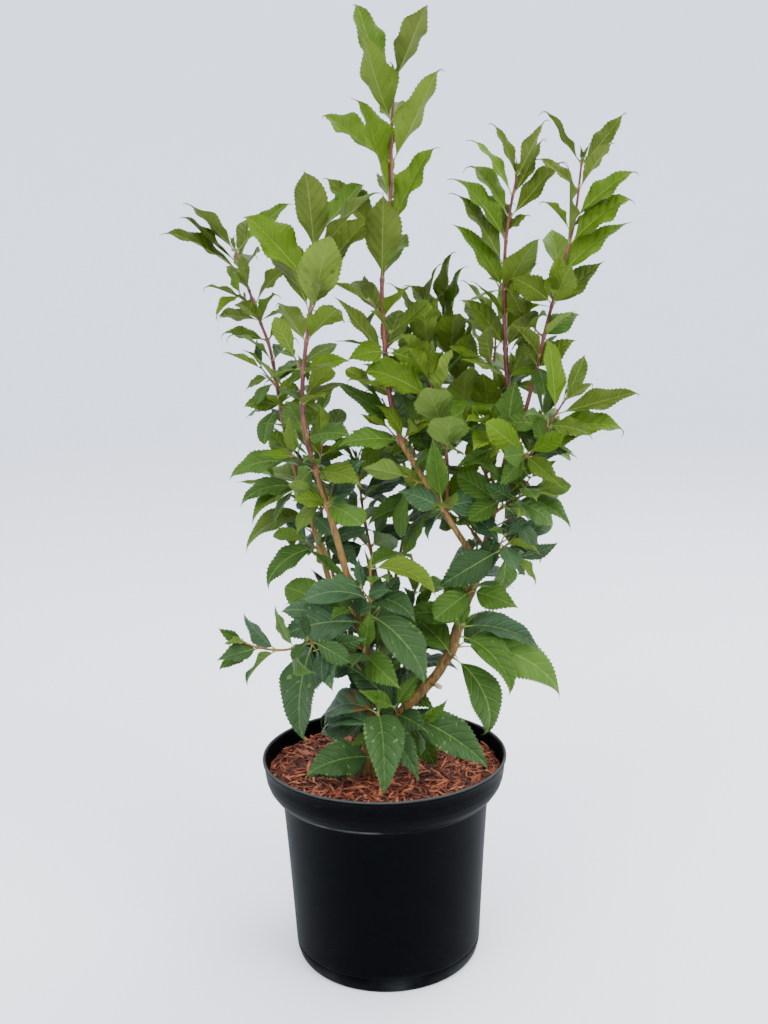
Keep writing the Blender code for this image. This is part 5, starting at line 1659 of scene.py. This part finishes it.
def set_camera():
    data = bpy.data.cameras.new("camera")
    data.sensor_width = SENSOR
    data.lens = FOCAL_PIXELS / PICTURE_HEIGHT * SENSOR
    camera = show("camera", data)
    pitch = Matrix.Rotation(math.radians(90 - CAMERA_PITCH), 4, "X")
    roll = Matrix.Rotation(math.radians(-CAMERA_ROLL), 4, "Z")
    camera.matrix_world = Matrix.Translation(CAMERA_AT) @ (pitch @ roll)
    bpy.context.scene.camera = camera


# Pieces
def settle(piece, slot, *replaced):
    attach(piece, "root")
    if replaced:
        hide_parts(*replaced)


def build_plant():
    others = ("midribs", "buds", "twigs", "limbs", "cut_wood", "leaf_tips")
    heaps = {name: Heap() for name in (*SHADES, *others)}
    grown, space = place_leaves()
    for name, leaves in grown.items():
        draw = random.Random(SHOOTS[name]["seed"] + SHOOT_SEEDS)
        spurs = [] if name in BARE_AXILS else side_leaves(name, SHOOTS[name], space, draw)
        fine_growth(leaves, spurs, heaps, draw)
        grow_twig(SHOOTS[name], heaps, draw)
    for seed, (name, item) in enumerate(LIMBS.items()):
        draw = random.Random(seed + LIMB_SEEDS)
        fine_growth([], limb_spurs(name, item, space, draw), heaps, draw)
        grow_limb(item, heaps, seed)
    for seed, stub in enumerate(STUBS, STUB_SEEDS):
        grow_stub(*stub, heaps, seed)
    for name, (dark, light_tone, under, vein) in SHADES.items():
        slot = SLOTS[name]
        spotted_above = SPOTTED_ABOVE.get(name, NEVER_SPOTTED)
        sides = zip(("_leaf", "_underside"), ((dark, light_tone), under), DULL_SIDES, VEIN_SHARES)
        faces = [leaf_face(name + side, *colours, vein, dull, SHINE[slot], vein_share, spotted_above)
                 for side, colours, dull, vein_share in sides]
        settle(heaps[name].piece("leaves_" + name, faces, LEAF_SHARP), slot, *SHOOTS)
    stalk, tip, scale, cut, dot = (plain_stalk(*look) for look in PLAIN_LOOKS)
    settle(heaps["midribs"].piece("stalks_and_midribs", [stalk]), "young_leaf")
    settle(heaps["leaf_tips"].piece("leaf_tips", [tip]), "young_leaf")
    settle(heaps["buds"].piece("buds", [scale]), "tan_bark")
    settle(heaps["twigs"].piece("twigs", [bark("twig_bark", *TWIG_BARK)]), "tan_bark")
    limbs = heaps["limbs"].piece("stems", [bark("stem_bark", *STEM_BARK)], BARK_SHARP)
    settle(limbs, "tan_bark", *LIMBS)
    settle(heaps["cut_wood"].piece("cut_ends", [cut]), "tan_bark")
    tree = scatter_tree("raised_dots", [lens_shape()])
    settle(scatter("raised_dots", tree, limbs, dot, DOTS), "tan_bark")


def build_pot():
    settle(make_pot(), "black_plastic", "pot")
    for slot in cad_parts["potting_soil"].material_slots:
        slot.material = crumbs(*SOIL_CRUMBS)
    bed = make_mulch_bed()
    settle(bed, "brown_mulch", "bark_mulch")
    tree = scatter_tree("shredded_bark", [chip_shape(seed) for seed in range(CHIP_SHAPES)])
    for name, dark, light_tone, values in CHIPS:
        shreds = scatter(name, tree, bed_top(bed), chip_fibre(name, dark, light_tone), values)
        keep_in_pot(shreds.data)
        settle(shreds, "brown_mulch")


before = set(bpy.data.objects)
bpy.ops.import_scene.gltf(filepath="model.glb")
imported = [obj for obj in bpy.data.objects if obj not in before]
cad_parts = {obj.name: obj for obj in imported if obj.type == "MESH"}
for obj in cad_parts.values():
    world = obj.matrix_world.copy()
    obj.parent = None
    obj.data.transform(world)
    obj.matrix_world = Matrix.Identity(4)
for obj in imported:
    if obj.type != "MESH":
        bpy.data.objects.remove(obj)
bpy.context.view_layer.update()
set_stage()
set_camera()
build_pot()
build_plant()
